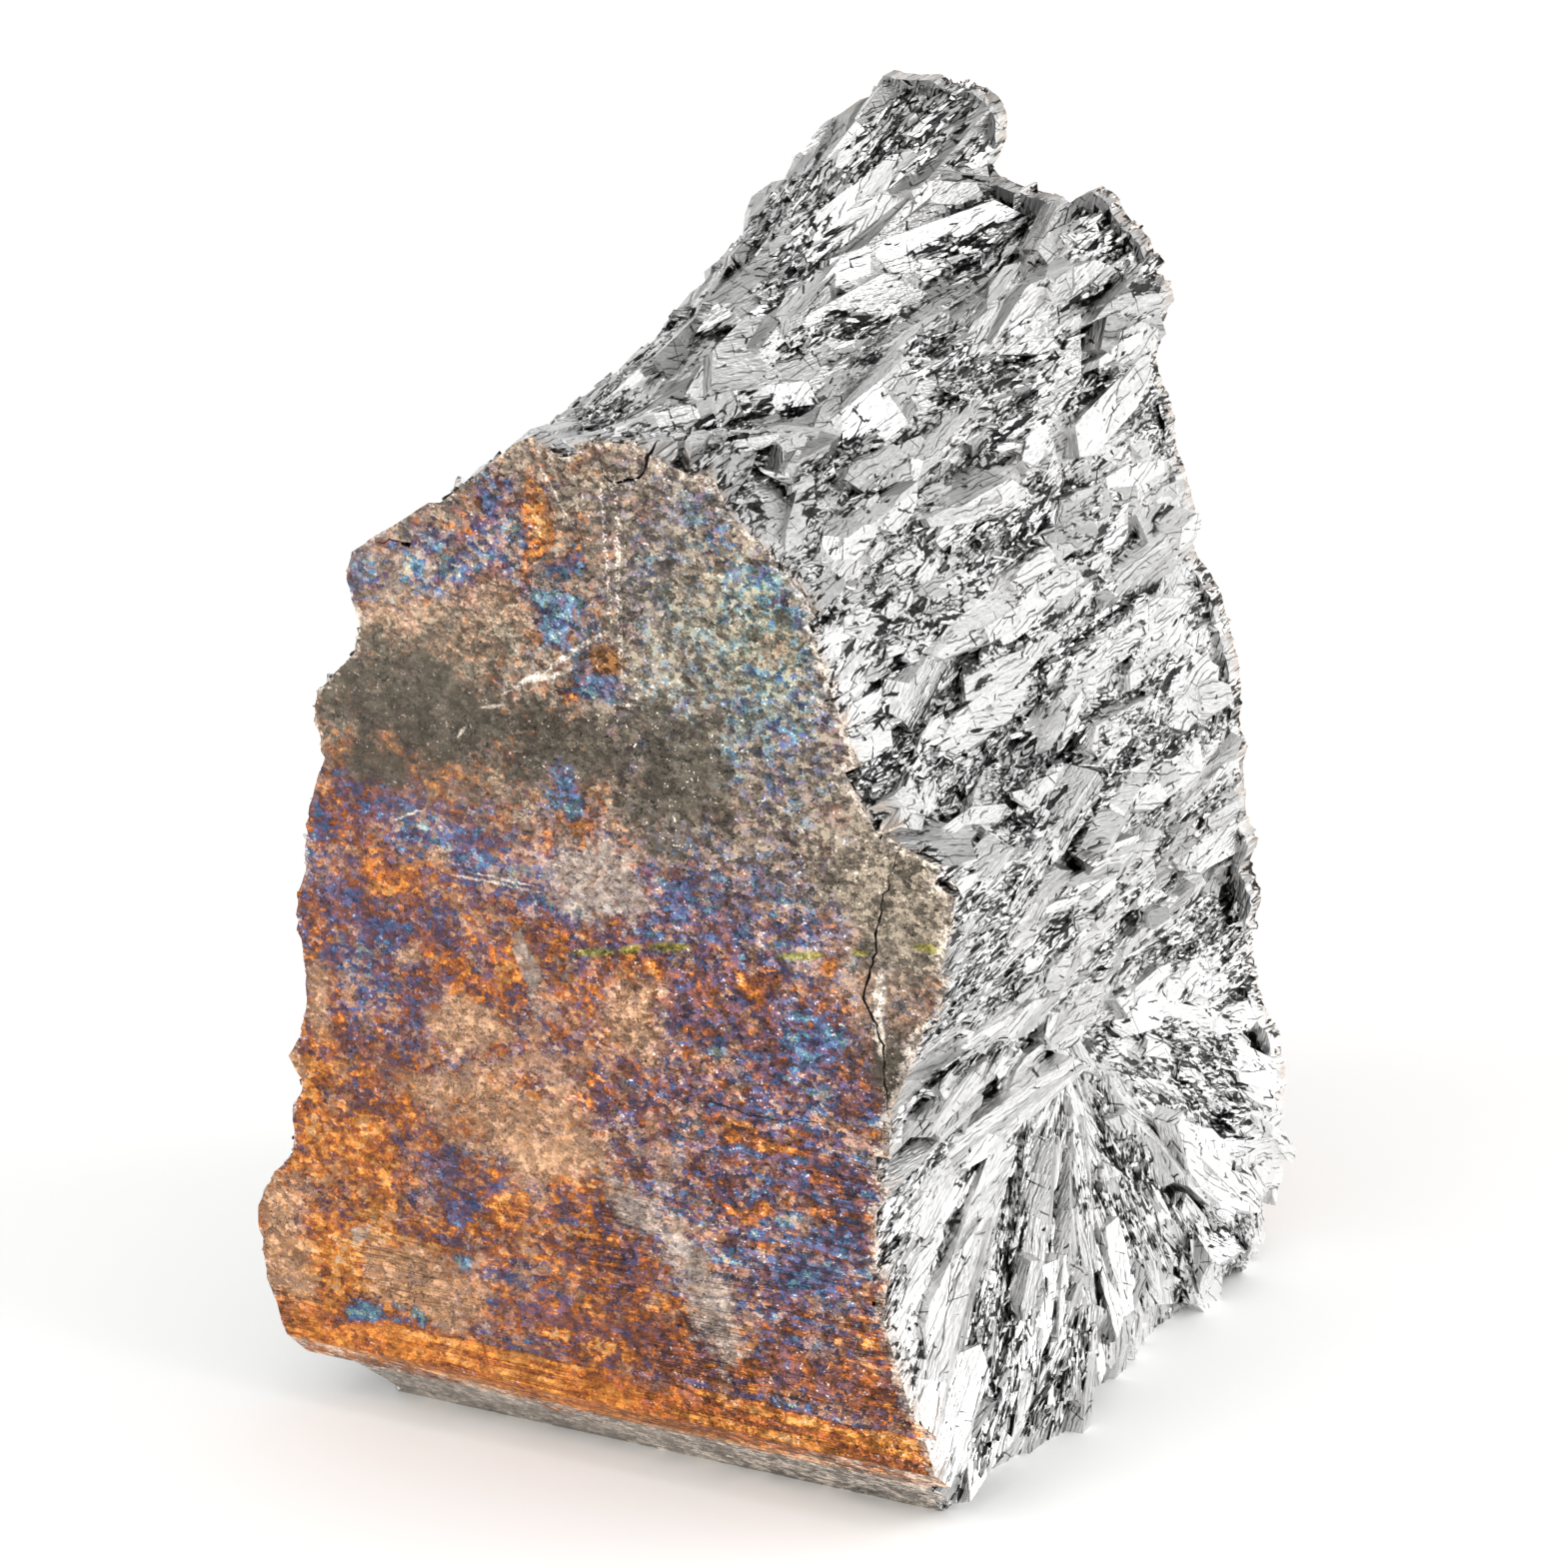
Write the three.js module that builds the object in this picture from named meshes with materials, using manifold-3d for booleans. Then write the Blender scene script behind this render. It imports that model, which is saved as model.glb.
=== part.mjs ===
// A piece broken from a cast bismuth ingot, standing on one of its cast faces.
// The front, the base and the back are flat faces left by the mould. All the rest is a fresh
// fracture, made of the flat cleavage faces of the crystals that grew inwards from the mould's walls.
// Millimetres, +Z up. The front cast face looks along -Y. The origin is on the base, halfway
// between the front and the back.

import * as THREE from "three";
import { mergeVertices } from "three/addons/utils/BufferGeometryUtils.js";
import Module from "manifold-3d";

const wasm = await Module();
wasm.setup();

// Driving dimensions
const THICKNESS = 64; // from the front cast face to the back one
const EDGE_BEVEL = 5.5; // the cast edge between the base and each of those faces
const RIDGE_SAG = 4.5; // how far the top dips halfway between front and back
const CRYSTAL_LENGTH = 17; // a typical crystal, along its growth
const CRYSTAL_WIDTH = 4.4;
const CRYSTAL_DEPTH = 3.2;
const CRYSTAL_PROUD = 0.7; // how far a typical crystal stands above the core
const CRYSTAL_SCATTER = 4; // how far along its growth a crystal strays from its place
const CRYSTAL_TURN = 20; // degrees that one may lie off its growth direction
const CRYSTAL_ROLL = 50; // degrees that one may lean about its length
const CRYSTAL_DIP = 12; // degrees that one end may stand above the other
const CORE_WANDER = 0.8; // how far the core strays under its crystals
const CORE_STATIONS = 7; // outlines of the core between the front and the back
const OVERSHOOT = 2; // how far the core runs past the mould's walls before they trim it
const TALLER_THAN_PIECE = 150;

const HALF = THICKNESS / 2;
const ROW_SPACING = CRYSTAL_WIDTH * 1.16; // between rows of crystals, around the outline
const ALONG_SPACING = CRYSTAL_LENGTH * 0.74; // between crystals in a row
const GROWTH_CENTRE_Z = HALF - 4; // where crystals from the two sides and the base meet

// Outlines of the fracture on the two cast faces, as [x, z], from the base's right end
// up the right side, over the top and down the left side. They correspond point by point.
const FRONT_OUTLINE = [
  [25, -OVERSHOOT], [27.5, 6], [23, 19], [23, 30], [27.5, 42], [29, 51], [23.5, 54],
  [20, 61], [18, 69], [14, 75], [8, 80], [4, 81], [0, 80.5], [-6, 78.5], [-12, 75],
  [-19, 70], [-21, 66], [-20, 63], [-24, 58], [-25.5, 40], [-26.5, 26], [-30, 16],
  [-29.5, 9], [-24, 3.5], [-19, -OVERSHOOT],
];
const BACK_OUTLINE = [
  [24.5, -OVERSHOOT], [26.5, 8], [24, 20], [21.5, 27], [21.5, 36], [21.5, 42], [20, 50],
  [17, 57], [16.5, 64], [15, 76.5], [10, 84.5], [4.5, 82], [1, 83], [0.5, 91], [-7, 93],
  [-14, 88.5], [-18, 80.5], [-21, 73], [-24, 65], [-27, 52], [-26, 36], [-28, 24],
  [-26.5, 12], [-23, 4], [-19, -OVERSHOOT],
];
const TOP_Z = 62; // from here up, the fracture sags more and more between front and back
const FULL_SAG_Z = 76;

// A small seeded generator, so that the piece comes out the same each time.
function seeded(seed) {
  let state = seed;
  return () => {
    state = (state + 0x6d2b79f5) | 0;
    let t = Math.imul(state ^ (state >>> 15), 1 | state);
    t = (t + Math.imul(t ^ (t >>> 7), 61 | t)) ^ t;
    return ((t ^ (t >>> 14)) >>> 0) / 4294967296;
  };
}

// A closed geometry as a solid that can be joined and cut.
function solid(geometry) {
  const bare = geometry.index ? geometry.toNonIndexed() : geometry.clone();
  bare.deleteAttribute("normal");
  bare.deleteAttribute("uv");
  const merged = mergeVertices(bare, 1e-4);
  return new wasm.Manifold(
    new wasm.Mesh({
      numProp: 3,
      vertProperties: new Float32Array(merged.attributes.position.array),
      triVerts: new Uint32Array(merged.index.array),
    }),
  );
}

// A solid back as a geometry.
function geometryOf(made) {
  const mesh = made.getMesh();
  const geometry = new THREE.BufferGeometry();
  geometry.setAttribute("position", new THREE.BufferAttribute(mesh.vertProperties, 3));
  geometry.setIndex(new THREE.BufferAttribute(mesh.triVerts, 1));
  return geometry;
}

// The point at index i (which may fall between two outline points) and depth y.
function fracturePoint(i, y) {
  const last = FRONT_OUTLINE.length - 1;
  const low = Math.min(Math.floor(i), last - 1);
  const share = i - low;
  const depth = THREE.MathUtils.clamp((y + HALF) / THICKNESS, 0, 1);
  const mix = THREE.MathUtils.lerp;
  const along = (outline, k) => mix(outline[low][k], outline[low + 1][k], share);
  const x = mix(along(FRONT_OUTLINE, 0), along(BACK_OUTLINE, 0), depth);
  const z = mix(along(FRONT_OUTLINE, 1), along(BACK_OUTLINE, 1), depth);
  const height = THREE.MathUtils.smoothstep(z, TOP_Z, FULL_SAG_Z);
  const sag = height * RIDGE_SAG * 4 * depth * (1 - depth);
  return new THREE.Vector3(x, y, z - sag);
}

// The outward normal of the fracture there.
function fractureNormal(i, y) {
  const step = 0.4;
  const last = FRONT_OUTLINE.length - 1;
  const up = fracturePoint(Math.min(i + step, last), y);
  up.sub(fracturePoint(Math.max(i - step, 0), y));
  const back = fracturePoint(i, Math.min(y + 3, HALF));
  back.sub(fracturePoint(i, Math.max(y - 3, -HALF)));
  return back.cross(up).normalize();
}

// Places along the outline spaced evenly by length, at mid depth.
function evenIndices(spacing, start) {
  const found = [];
  const fine = 0.02;
  let travelled = -start;
  let before = fracturePoint(0, 0);
  for (let i = 0; i <= FRONT_OUTLINE.length - 1; i += fine) {
    const here = fracturePoint(i, 0);
    travelled += here.distanceTo(before);
    before = here;
    if (travelled >= 0) {
      found.push(i);
      travelled -= spacing;
    }
  }
  return found;
}

// The core: rings from front to back joined by triangles, and closed at each end.
function coreGeometry() {
  const random = seeded(11);
  const count = FRONT_OUTLINE.length;
  const positions = [];
  for (let s = 0; s < CORE_STATIONS; s++) {
    const y = THREE.MathUtils.lerp(-HALF - OVERSHOOT, HALF + OVERSHOOT, s / (CORE_STATIONS - 1));
    for (let i = 0; i < count; i++) {
      const point = fracturePoint(i, y);
      const wander = point.z > EDGE_BEVEL ? (random() * 2 - 1) * CORE_WANDER : 0;
      point.addScaledVector(fractureNormal(i, y), wander - CRYSTAL_PROUD);
      positions.push(point.x, point.y, point.z);
    }
  }
  const faces = [];
  for (let s = 0; s < CORE_STATIONS - 1; s++) {
    for (let k = 0; k < count; k++) {
      const next = (k + 1) % count;
      const a = s * count + k;
      const b = s * count + next;
      faces.push(a, a + count, b, b, a + count, b + count);
    }
  }
  const contour = FRONT_OUTLINE.map(([x, z]) => new THREE.Vector2(x, z));
  for (const [a, b, c] of THREE.ShapeUtils.triangulateShape(contour, [])) {
    const shift = (CORE_STATIONS - 1) * count;
    faces.push(a, b, c, a + shift, c + shift, b + shift);
  }
  const geometry = new THREE.BufferGeometry();
  geometry.setAttribute("position", new THREE.Float32BufferAttribute(positions, 3));
  geometry.setIndex(faces);
  return geometry;
}

// The ingot's own section, as [y, z], run out along X: it trims the crystals flat at the cast faces.
function mouldGeometry() {
  const section = new THREE.Shape();
  section.moveTo(-HALF, TALLER_THAN_PIECE);
  section.lineTo(-HALF, EDGE_BEVEL);
  section.lineTo(-HALF + EDGE_BEVEL, 0);
  section.lineTo(HALF - EDGE_BEVEL, 0);
  section.lineTo(HALF, EDGE_BEVEL);
  section.lineTo(HALF, TALLER_THAN_PIECE);
  const geometry = new THREE.ExtrudeGeometry(section, { depth: THICKNESS * 2, bevelEnabled: false });
  const across = new THREE.Matrix4().makeBasis(
    new THREE.Vector3(0, 1, 0),
    new THREE.Vector3(0, 0, 1),
    new THREE.Vector3(1, 0, 0),
  );
  across.setPosition(-THICKNESS, 0, 0);
  return geometry.applyMatrix4(across);
}

// Crystals grow at right angles to the nearest mould wall. From the front and the back they run
// along Y, and near the base they fan out from the line where the three directions meet.
function growthDirection(point) {
  const side = point.y < 0 ? -1 : 1;
  const y = Math.abs(point.y) < 1 ? side : point.y;
  return new THREE.Vector3(0, y, Math.min(point.z - GROWTH_CENTRE_Z, 0)).normalize();
}

// One blade with uneven pointed ends and a flat top, lying along X with its top at z = 0.
function bladeGeometry(random) {
  const half = (CRYSTAL_LENGTH * (0.6 + 0.8 * random())) / 2;
  const side = (CRYSTAL_WIDTH * (0.6 + 0.8 * random())) / 2;
  const depth = CRYSTAL_DEPTH * (0.8 + 0.4 * random());
  const outline = new THREE.Shape();
  outline.moveTo(-half, side * (random() - 0.5));
  outline.lineTo(-half * (0.45 + 0.4 * random()), -side);
  outline.lineTo(half * (0.4 + 0.5 * random()), -side * (0.6 + 0.4 * random()));
  outline.lineTo(half, side * (random() - 0.5));
  outline.lineTo(half * (0.4 + 0.4 * random()), side);
  outline.lineTo(-half * (0.4 + 0.5 * random()), side * (0.6 + 0.4 * random()));
  const blade = new THREE.ExtrudeGeometry(outline, { depth, bevelEnabled: false });
  return blade.translate(0, 0, -depth);
}

// Blades laid along their growth all over the fracture, each tilted its own way.
function crystalSolids() {
  const random = seeded(3);
  const either = () => random() + random() - 1;
  const tilt = (degrees) => THREE.MathUtils.degToRad(degrees * either());
  const last = FRONT_OUTLINE.length - 1;
  const made = [];
  evenIndices(ROW_SPACING, CRYSTAL_WIDTH / 2).forEach((i, row) => {
    const shift = row % 2 ? ALONG_SPACING / 2 : 0;
    for (let y = -HALF + 2 + shift; y < HALF; y += ALONG_SPACING) {
      const place = THREE.MathUtils.clamp(y + (random() - 0.5) * CRYSTAL_SCATTER, -HALF, HALF);
      const index = THREE.MathUtils.clamp(i + (random() - 0.5) / 2, 0, last);
      const point = fracturePoint(index, place);
      const normal = fractureNormal(index, place);
      const growth = growthDirection(point);
      const beside = new THREE.Vector3().crossVectors(normal, growth).normalize();
      growth.crossVectors(beside, normal).normalize();
      const lay = new THREE.Matrix4().makeBasis(growth, beside, normal);
      lay.multiply(new THREE.Matrix4().makeRotationZ(tilt(CRYSTAL_TURN)));
      lay.multiply(new THREE.Matrix4().makeRotationX(tilt(CRYSTAL_ROLL)));
      lay.multiply(new THREE.Matrix4().makeRotationY(tilt(CRYSTAL_DIP)));
      point.addScaledVector(normal, CRYSTAL_PROUD * either());
      lay.setPosition(point);
      made.push(solid(bladeGeometry(random).applyMatrix4(lay)));
    }
  });
  return made;
}

// The whole piece: the core with all its crystals, trimmed flat by the mould.
function ingotGeometry() {
  const grown = crystalSolids().reduce((whole, crystal) => whole.add(crystal), solid(coreGeometry()));
  return geometryOf(grown.intersect(solid(mouldGeometry())));
}

const bismuth = new THREE.MeshStandardMaterial({
  name: "bismuth",
  color: new THREE.Color(0.72, 0.71, 0.7),
  roughness: 0.35,
  metalness: 1,
  flatShading: true,
});

const ingotPiece = new THREE.Mesh(ingotGeometry(), bismuth);
ingotPiece.name = "ingot_piece";

const model = new THREE.Group();
model.add(ingotPiece);

export default model;
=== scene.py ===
# %% [markdown]
# # A piece broken from a cast bismuth ingot
# A hand-sized lump of bismuth stands on its flat cast base. The mould left three flat faces, whose
# oxide shows the colours of a thin film, and everything else is a fresh fracture: thousands of flat,
# bright crystal faces. This lesson dresses the plain solid of that lump with finer crystals, a cast
# skin with its own relief, cracks, and procedural materials for the skin and the fracture.

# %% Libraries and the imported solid
import math

import bmesh
import bpy
import numpy as np
from mathutils import Matrix, Vector, noise
from mathutils.kdtree import KDTree


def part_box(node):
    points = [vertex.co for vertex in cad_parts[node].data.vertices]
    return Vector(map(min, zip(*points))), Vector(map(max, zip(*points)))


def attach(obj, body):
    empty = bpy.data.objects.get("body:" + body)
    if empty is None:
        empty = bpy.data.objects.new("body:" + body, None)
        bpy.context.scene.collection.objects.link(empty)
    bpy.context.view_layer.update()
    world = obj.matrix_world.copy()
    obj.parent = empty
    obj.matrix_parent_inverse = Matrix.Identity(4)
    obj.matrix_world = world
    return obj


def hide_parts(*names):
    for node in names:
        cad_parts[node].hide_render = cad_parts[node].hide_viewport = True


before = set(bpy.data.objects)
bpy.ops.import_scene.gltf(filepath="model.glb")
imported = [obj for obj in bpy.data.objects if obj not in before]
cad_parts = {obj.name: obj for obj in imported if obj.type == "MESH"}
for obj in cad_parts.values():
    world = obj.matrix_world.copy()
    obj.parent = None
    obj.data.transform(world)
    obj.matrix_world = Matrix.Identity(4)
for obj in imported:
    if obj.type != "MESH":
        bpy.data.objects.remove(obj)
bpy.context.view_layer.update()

MM = 0.001
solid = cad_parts["ingot_piece"]
low, high = (np.array(corner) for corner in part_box("ingot_piece"))
HALF = high[1]  # from the middle of the ingot to each cast face
EDGE_BEVEL = 5.5 * MM  # the cast edge between the base and those faces
GROWTH_CENTRE_Z = HALF - 4 * MM  # crystals from the two sides and the base meet at this height
print("solid from", np.round(low / MM, 1), "to", np.round(high / MM, 1), "mm")

# %% [markdown]
# ## Camera, floor and light
# The camera looks down at 20 degrees with a long lens, as a product photographer's would. Bright
# metal shows what it reflects, so the light matters more here than on any other material: a bright
# soft surround, lighter at the horizon than overhead, gives the crystals something white to mirror,
# and three panels pick out the faces that turn their way. An even dome would make the fracture flat.

# %% Camera
AZIMUTH = math.radians(28)
ELEVATION = math.radians(20)
TARGET = Vector((6.3, -15.7, 50.3)) * MM
DISTANCE = 640.9 * MM

backward = Vector((
    math.sin(AZIMUTH) * math.cos(ELEVATION),
    -math.cos(AZIMUTH) * math.cos(ELEVATION),
    math.sin(ELEVATION),
))
camera_data = bpy.data.cameras.new("camera")
camera_data.lens = 200
camera_data.sensor_width = 36
camera_data.clip_start = 0.01
camera = bpy.data.objects.new("camera", camera_data)
camera.location = TARGET + DISTANCE * backward
camera.rotation_euler = backward.to_track_quat("Z", "Y").to_euler()
bpy.context.collection.objects.link(camera)
bpy.context.scene.camera = camera
print("camera at", [round(v, 3) for v in camera.location])

# %% Light panels, world and floor


def light_panel(name, place, size, power, aim=(0, 0, 0.045)):
    """A square soft panel at a place in metres, turned towards the piece."""
    data = bpy.data.lights.new(name, "AREA")
    data.shape = "SQUARE"
    data.size = size
    data.energy = power
    panel = bpy.data.objects.new(name, data)
    panel.location = place
    facing = Vector(place) - Vector(aim)
    panel.rotation_euler = facing.to_track_quat("Z", "Y").to_euler()
    bpy.context.collection.objects.link(panel)
    return panel


light_panel("key_panel", (-0.45, -0.75, 0.75), 0.7, 5)
light_panel("right_panel", (0.95, 0.25, 0.5), 1.1, 8)
light_panel("top_panel", (0.05, 0.15, 1.2), 1.1, 2)

world = bpy.data.worlds.new("studio")
world.use_nodes = True
sky = world.node_tree
direction = sky.nodes.new("ShaderNodeTexCoord")
split = sky.nodes.new("ShaderNodeSeparateXYZ")
fade = sky.nodes.new("ShaderNodeMapRange")
sky.links.new(direction.outputs["Generated"], split.inputs[0])
sky.links.new(split.outputs["Z"], fade.inputs["Value"])
sky.links.new(fade.outputs["Result"], sky.nodes["Background"].inputs["Strength"])
fade.inputs["From Min"].default_value = 0.1
fade.inputs["From Max"].default_value = 0.6
fade.inputs["To Min"].default_value = 1.08
fade.inputs["To Max"].default_value = 0.72
sky.nodes["Background"].inputs["Color"].default_value = (1, 1, 1, 1)
bpy.context.scene.world = world
bpy.context.scene.view_settings.view_transform = "Standard"

bpy.ops.object.select_all(action="DESELECT")
bpy.ops.mesh.primitive_plane_add(size=6, location=(0, 0, 0))
floor = bpy.context.object
floor.name = "floor"
floor_paint = bpy.data.materials.new("floor_paint")
floor_paint.use_nodes = True
floor_paint.node_tree.nodes["Principled BSDF"].inputs["Base Color"].default_value = (0.93, 0.93, 0.92, 1)
floor_paint.node_tree.nodes["Principled BSDF"].inputs["Roughness"].default_value = 0.9
floor.data.materials.append(floor_paint)

# %% [markdown]
# ## Growth and the fracture's surface
# Cast bismuth freezes from the mould's walls inwards, and its crystals point along that path. The
# fracture runs between them, so every finer crystal added here needs a place on the fracture, the
# way the surface faces there, and the way the metal grew. The places are scattered by area, from a
# seeded generator, and thinned so that neighbours keep a distance, which looks grown, not sprinkled.

# %% A merged copy of the solid


def only(piece):
    """Makes one object the active and only selected one."""
    bpy.ops.object.select_all(action="DESELECT")
    piece.select_set(True)
    bpy.context.view_layer.objects.active = piece


ingot = solid.copy()
ingot.data = solid.data.copy()
ingot.name = "ingot"
bpy.context.collection.objects.link(ingot)
ingot.data.materials.clear()
skin = bpy.data.materials.new("cast_skin")
crystal = bpy.data.materials.new("crystal_fracture")
ingot.data.materials.append(crystal)
only(ingot)
bpy.ops.object.mode_set(mode="EDIT")
bpy.ops.mesh.select_all(action="SELECT")
bpy.ops.mesh.remove_doubles(threshold=0.001 * MM)
bpy.ops.object.mode_set(mode="OBJECT")
print("copy of the solid:", len(ingot.data.polygons), "faces")

# %% Places on the fracture


def unit(vectors):
    """Vectors of length one."""
    return vectors / np.maximum(np.linalg.norm(vectors, axis=1, keepdims=True), 1e-12)


def growth_at(points):
    """The way the crystals grew at each point: from the nearest mould wall inwards."""
    side = np.where(points[:, 1] < 0, -1.0, 1.0)
    along_y = np.where(abs(points[:, 1]) < 1 * MM, side * MM, points[:, 1])
    down = np.minimum(points[:, 2] - GROWTH_CENTRE_Z, 0)
    return unit(np.stack([np.zeros(len(points)), along_y, down], axis=1))


def surface_points(mesh, count, rng):
    """Random places on a mesh's fracture, with the way the face looks at each."""
    mesh.calc_loop_triangles()
    corners = np.array([v.co for v in mesh.vertices])
    tris = np.array([t.vertices for t in mesh.loop_triangles])
    a, b, c = (corners[tris[:, k]] for k in range(3))
    across = np.cross(b - a, c - a)
    normals = unit(across)
    centres = (a + b + c) / 3
    wall_gap = np.minimum(HALF, HALF - EDGE_BEVEL + centres[:, 2]) - abs(centres[:, 1])
    cast = (wall_gap < 0.4 * MM) & (abs(normals[:, 0]) < 0.35) & (abs(normals[:, 1]) > 0.6)
    cast |= (normals[:, 2] < -0.9) & (centres[:, 2] < 0.1 * MM)
    weights = np.linalg.norm(across, axis=1) * ~cast
    pick = rng.choice(len(tris), count, p=weights / weights.sum())
    u, v = rng.random((2, count))
    over = u + v > 1
    u[over], v[over] = 1 - u[over], 1 - v[over]
    places = a[pick] + u[:, None] * (b - a)[pick] + v[:, None] * (c - a)[pick]
    return places, normals[pick], weights.sum() / 2


def thinned(points, gap):
    """Indices of points, in order, that keep a gap from all kept before them."""
    kept = []
    cells = {}
    keys = np.floor(points / gap).astype(int)
    around = [(i, j, k) for i in (-1, 0, 1) for j in (-1, 0, 1) for k in (-1, 0, 1)]
    for n, key in enumerate(map(tuple, keys)):
        near = [m for d in around for m in cells.get((key[0] + d[0], key[1] + d[1], key[2] + d[2]), ())]
        if near and np.min(np.sum((points[near] - points[n]) ** 2, axis=1)) < gap * gap:
            continue
        kept.append(n)
        cells.setdefault(key, []).append(n)
    return np.array(kept)


def surroundings(points, samples, normals, reach):
    """The mean place and the mean facing of the samples around each point."""
    cells = {}
    for key, place, normal in zip(map(tuple, np.floor(samples / reach).astype(int)), samples, normals):
        cells.setdefault(key, []).append((*place, *normal, 1.0))
    sums = {key: np.sum(members, axis=0) for key, members in cells.items()}
    around = [(i, j, k) for i in (-1, 0, 1) for j in (-1, 0, 1) for k in (-1, 0, 1)]
    nothing = np.zeros(7)
    total = np.zeros((len(points), 7))
    for n, key in enumerate(map(tuple, np.floor(points / reach).astype(int))):
        for d in around:
            total[n] += sums.get((key[0] + d[0], key[1] + d[1], key[2] + d[2]), nothing)
    return total[:, :3] / np.maximum(total[:, 6:], 1), unit(total[:, 3:6])


def busyness(points):
    """From 0 in smooth zones to 1 in broken ones, in patches drawn out along the growth."""
    values = []
    for x, y, z in points / MM:
        drop = min(z - GROWTH_CENTRE_Z / MM, 0)
        out = math.hypot(y, drop) * math.copysign(1, y)
        turned = math.atan2(drop, abs(y)) * 14 + max(z - GROWTH_CENTRE_Z / MM, 0)
        patch = noise.noise((x / 5, out / 11, turned / 4.5))
        values.append(0.5 + 1.5 * patch + 0.5 * noise.noise((x / 2, y / 4, z / 2)))
    return np.clip(values, 0, 1)


scatter = np.random.default_rng(7)
spots, facing, fracture_area = surface_points(ingot.data, 50000, scatter)
print("fracture of", round(fracture_area / MM**2 / 100, 1), "square cm, with", len(spots), "places")

# %% [markdown]
# ## One crystal, modelled in edit mode
# A bismuth crystal's broken end is a long flat plate with steep sides. A cube is the nearest
# primitive: in edit mode some of its upright edges are bevelled, each by its own amount, which cuts
# the corners off, and its top is drawn in. All the faces are flat and stay flat when a copy is
# stretched or sheared, as a cleaved crystal's are. Corners shaken one by one would crumple like foil.

# %% Crystal variants


def select_where(mesh, keep):
    """Deselects all in edit mode, then selects the faces for which keep(face) is true."""
    shape = bmesh.from_edit_mesh(mesh)
    for element in (*shape.verts, *shape.edges, *shape.faces):
        element.select = False
    for face in shape.faces:
        if keep(face):
            face.select_set(True)
    bmesh.update_edit_mesh(mesh)


def crystal_variant(name, cuts, top_length, top_width, top_shift):
    """A plate along X, one long and one wide, with its top at z = 0 and some corners cut off."""
    bpy.ops.object.select_all(action="DESELECT")
    bpy.ops.mesh.primitive_cube_add(size=1, location=(0, 0, -0.5))
    plate = bpy.context.object
    plate.name = name
    bpy.ops.object.transform_apply(location=True, rotation=True, scale=True)
    bpy.ops.object.mode_set(mode="EDIT")
    for x, y, offset in cuts:
        shape = bmesh.from_edit_mesh(plate.data)
        for element in (*shape.verts, *shape.edges, *shape.faces):
            element.select = False
        for edge in shape.edges:
            middle = (edge.verts[0].co + edge.verts[1].co) / 2
            if abs(middle.z + 0.5) < 0.1 and (middle - Vector((x, y, -0.5))).length < 0.01:
                edge.select_set(True)
        bmesh.update_edit_mesh(plate.data)
        bpy.ops.mesh.bevel(offset=offset, segments=1)
    select_where(plate.data, lambda face: face.normal.z > 0.5)
    bpy.ops.transform.resize(value=(top_length, top_width, 1))
    bpy.ops.transform.translate(value=(top_shift, 0, 0))
    bpy.ops.object.mode_set(mode="OBJECT")
    return plate


variants = [
    crystal_variant("crystal_slab", [(0.5, 0.5, 0.35)], 0.95, 0.8, 0.02),
    crystal_variant("crystal_pointed", [(0.5, 0.5, 0.42), (0.5, -0.5, 0.5), (-0.5, 0.5, 0.3)], 0.86, 0.86, -0.03),
    crystal_variant("crystal_wedge", [(-0.5, 0.5, 0.5), (0.5, -0.5, 0.25)], 0.8, 0.9, 0.09),
    crystal_variant("crystal_blade", [(0.5, 0.5, 0.6), (-0.5, -0.5, 0.6)], 0.9, 0.85, 0.0),
]
shapes = []
for plate in variants:
    corners = np.array([v.co for v in plate.data.vertices])
    faces = [list(p.vertices) for p in plate.data.polygons]
    shapes.append((corners, faces))
    bpy.data.objects.remove(plate)
print("crystal variants:", [len(faces) for corners, faces in shapes], "faces")

# %% [markdown]
# ## Crystals on the fracture
# Crystals of a few millimetres are laid on the large ones, turned to their growth, and joined to the
# solid with Boolean unions. In a smooth zone each lies nearly parallel to the face below it, which
# makes the low terraces of a cleaved grain, and in a broken zone each leans its own way. A batch holds
# only crystals that don't touch each other, because a union doesn't clean up one mesh that crosses
# itself.

# %% Laying crystals


def lay_crystals(points, normals, sizes, proud, lean, rng):
    """Corners and faces of one crystal at each point, leaning up to an angle each has of its own."""
    growth = growth_at(points)
    beside = unit(np.cross(normals, growth))
    along = np.cross(beside, normals)
    laid = []
    for n in range(len(points)):
        corners, faces = shapes[rng.integers(len(shapes))]
        skew = np.array([[1, 0, 0], [rng.uniform(-1.1, 1.1), 1, 0], [0, 0, 1]])
        local = corners * (rng.choice((-1, 1)), 1, 1) * sizes[n] @ skew
        turn, roll, dip = rng.uniform(-1, 1, 3) * (0.5, 1, 0.2) * lean[n]
        spin = Matrix.Rotation(turn, 3, "Z") @ Matrix.Rotation(roll, 3, "X") @ Matrix.Rotation(dip, 3, "Y")
        turned = local @ np.array(spin).T @ np.stack([along[n], beside[n], normals[n]])
        laid.append((points[n] + normals[n] * proud[n] + turned, faces))
    return laid


def joined(name, laid):
    """All the laid crystals as one mesh object."""
    corners = np.concatenate([c for c, f in laid])
    faces = []
    start = 0
    for c, f in laid:
        faces.extend([[start + k for k in face] for face in f])
        start += len(c)
    mesh = bpy.data.meshes.new(name)
    mesh.from_pydata(corners.tolist(), [], faces)
    mesh.materials.append(crystal)
    piece = bpy.data.objects.new(name, mesh)
    bpy.context.collection.objects.link(piece)
    only(piece)
    bpy.ops.object.mode_set(mode="EDIT")
    bpy.ops.mesh.select_all(action="SELECT")
    bpy.ops.mesh.normals_make_consistent(inside=False)
    bpy.ops.object.mode_set(mode="OBJECT")
    return piece


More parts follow.
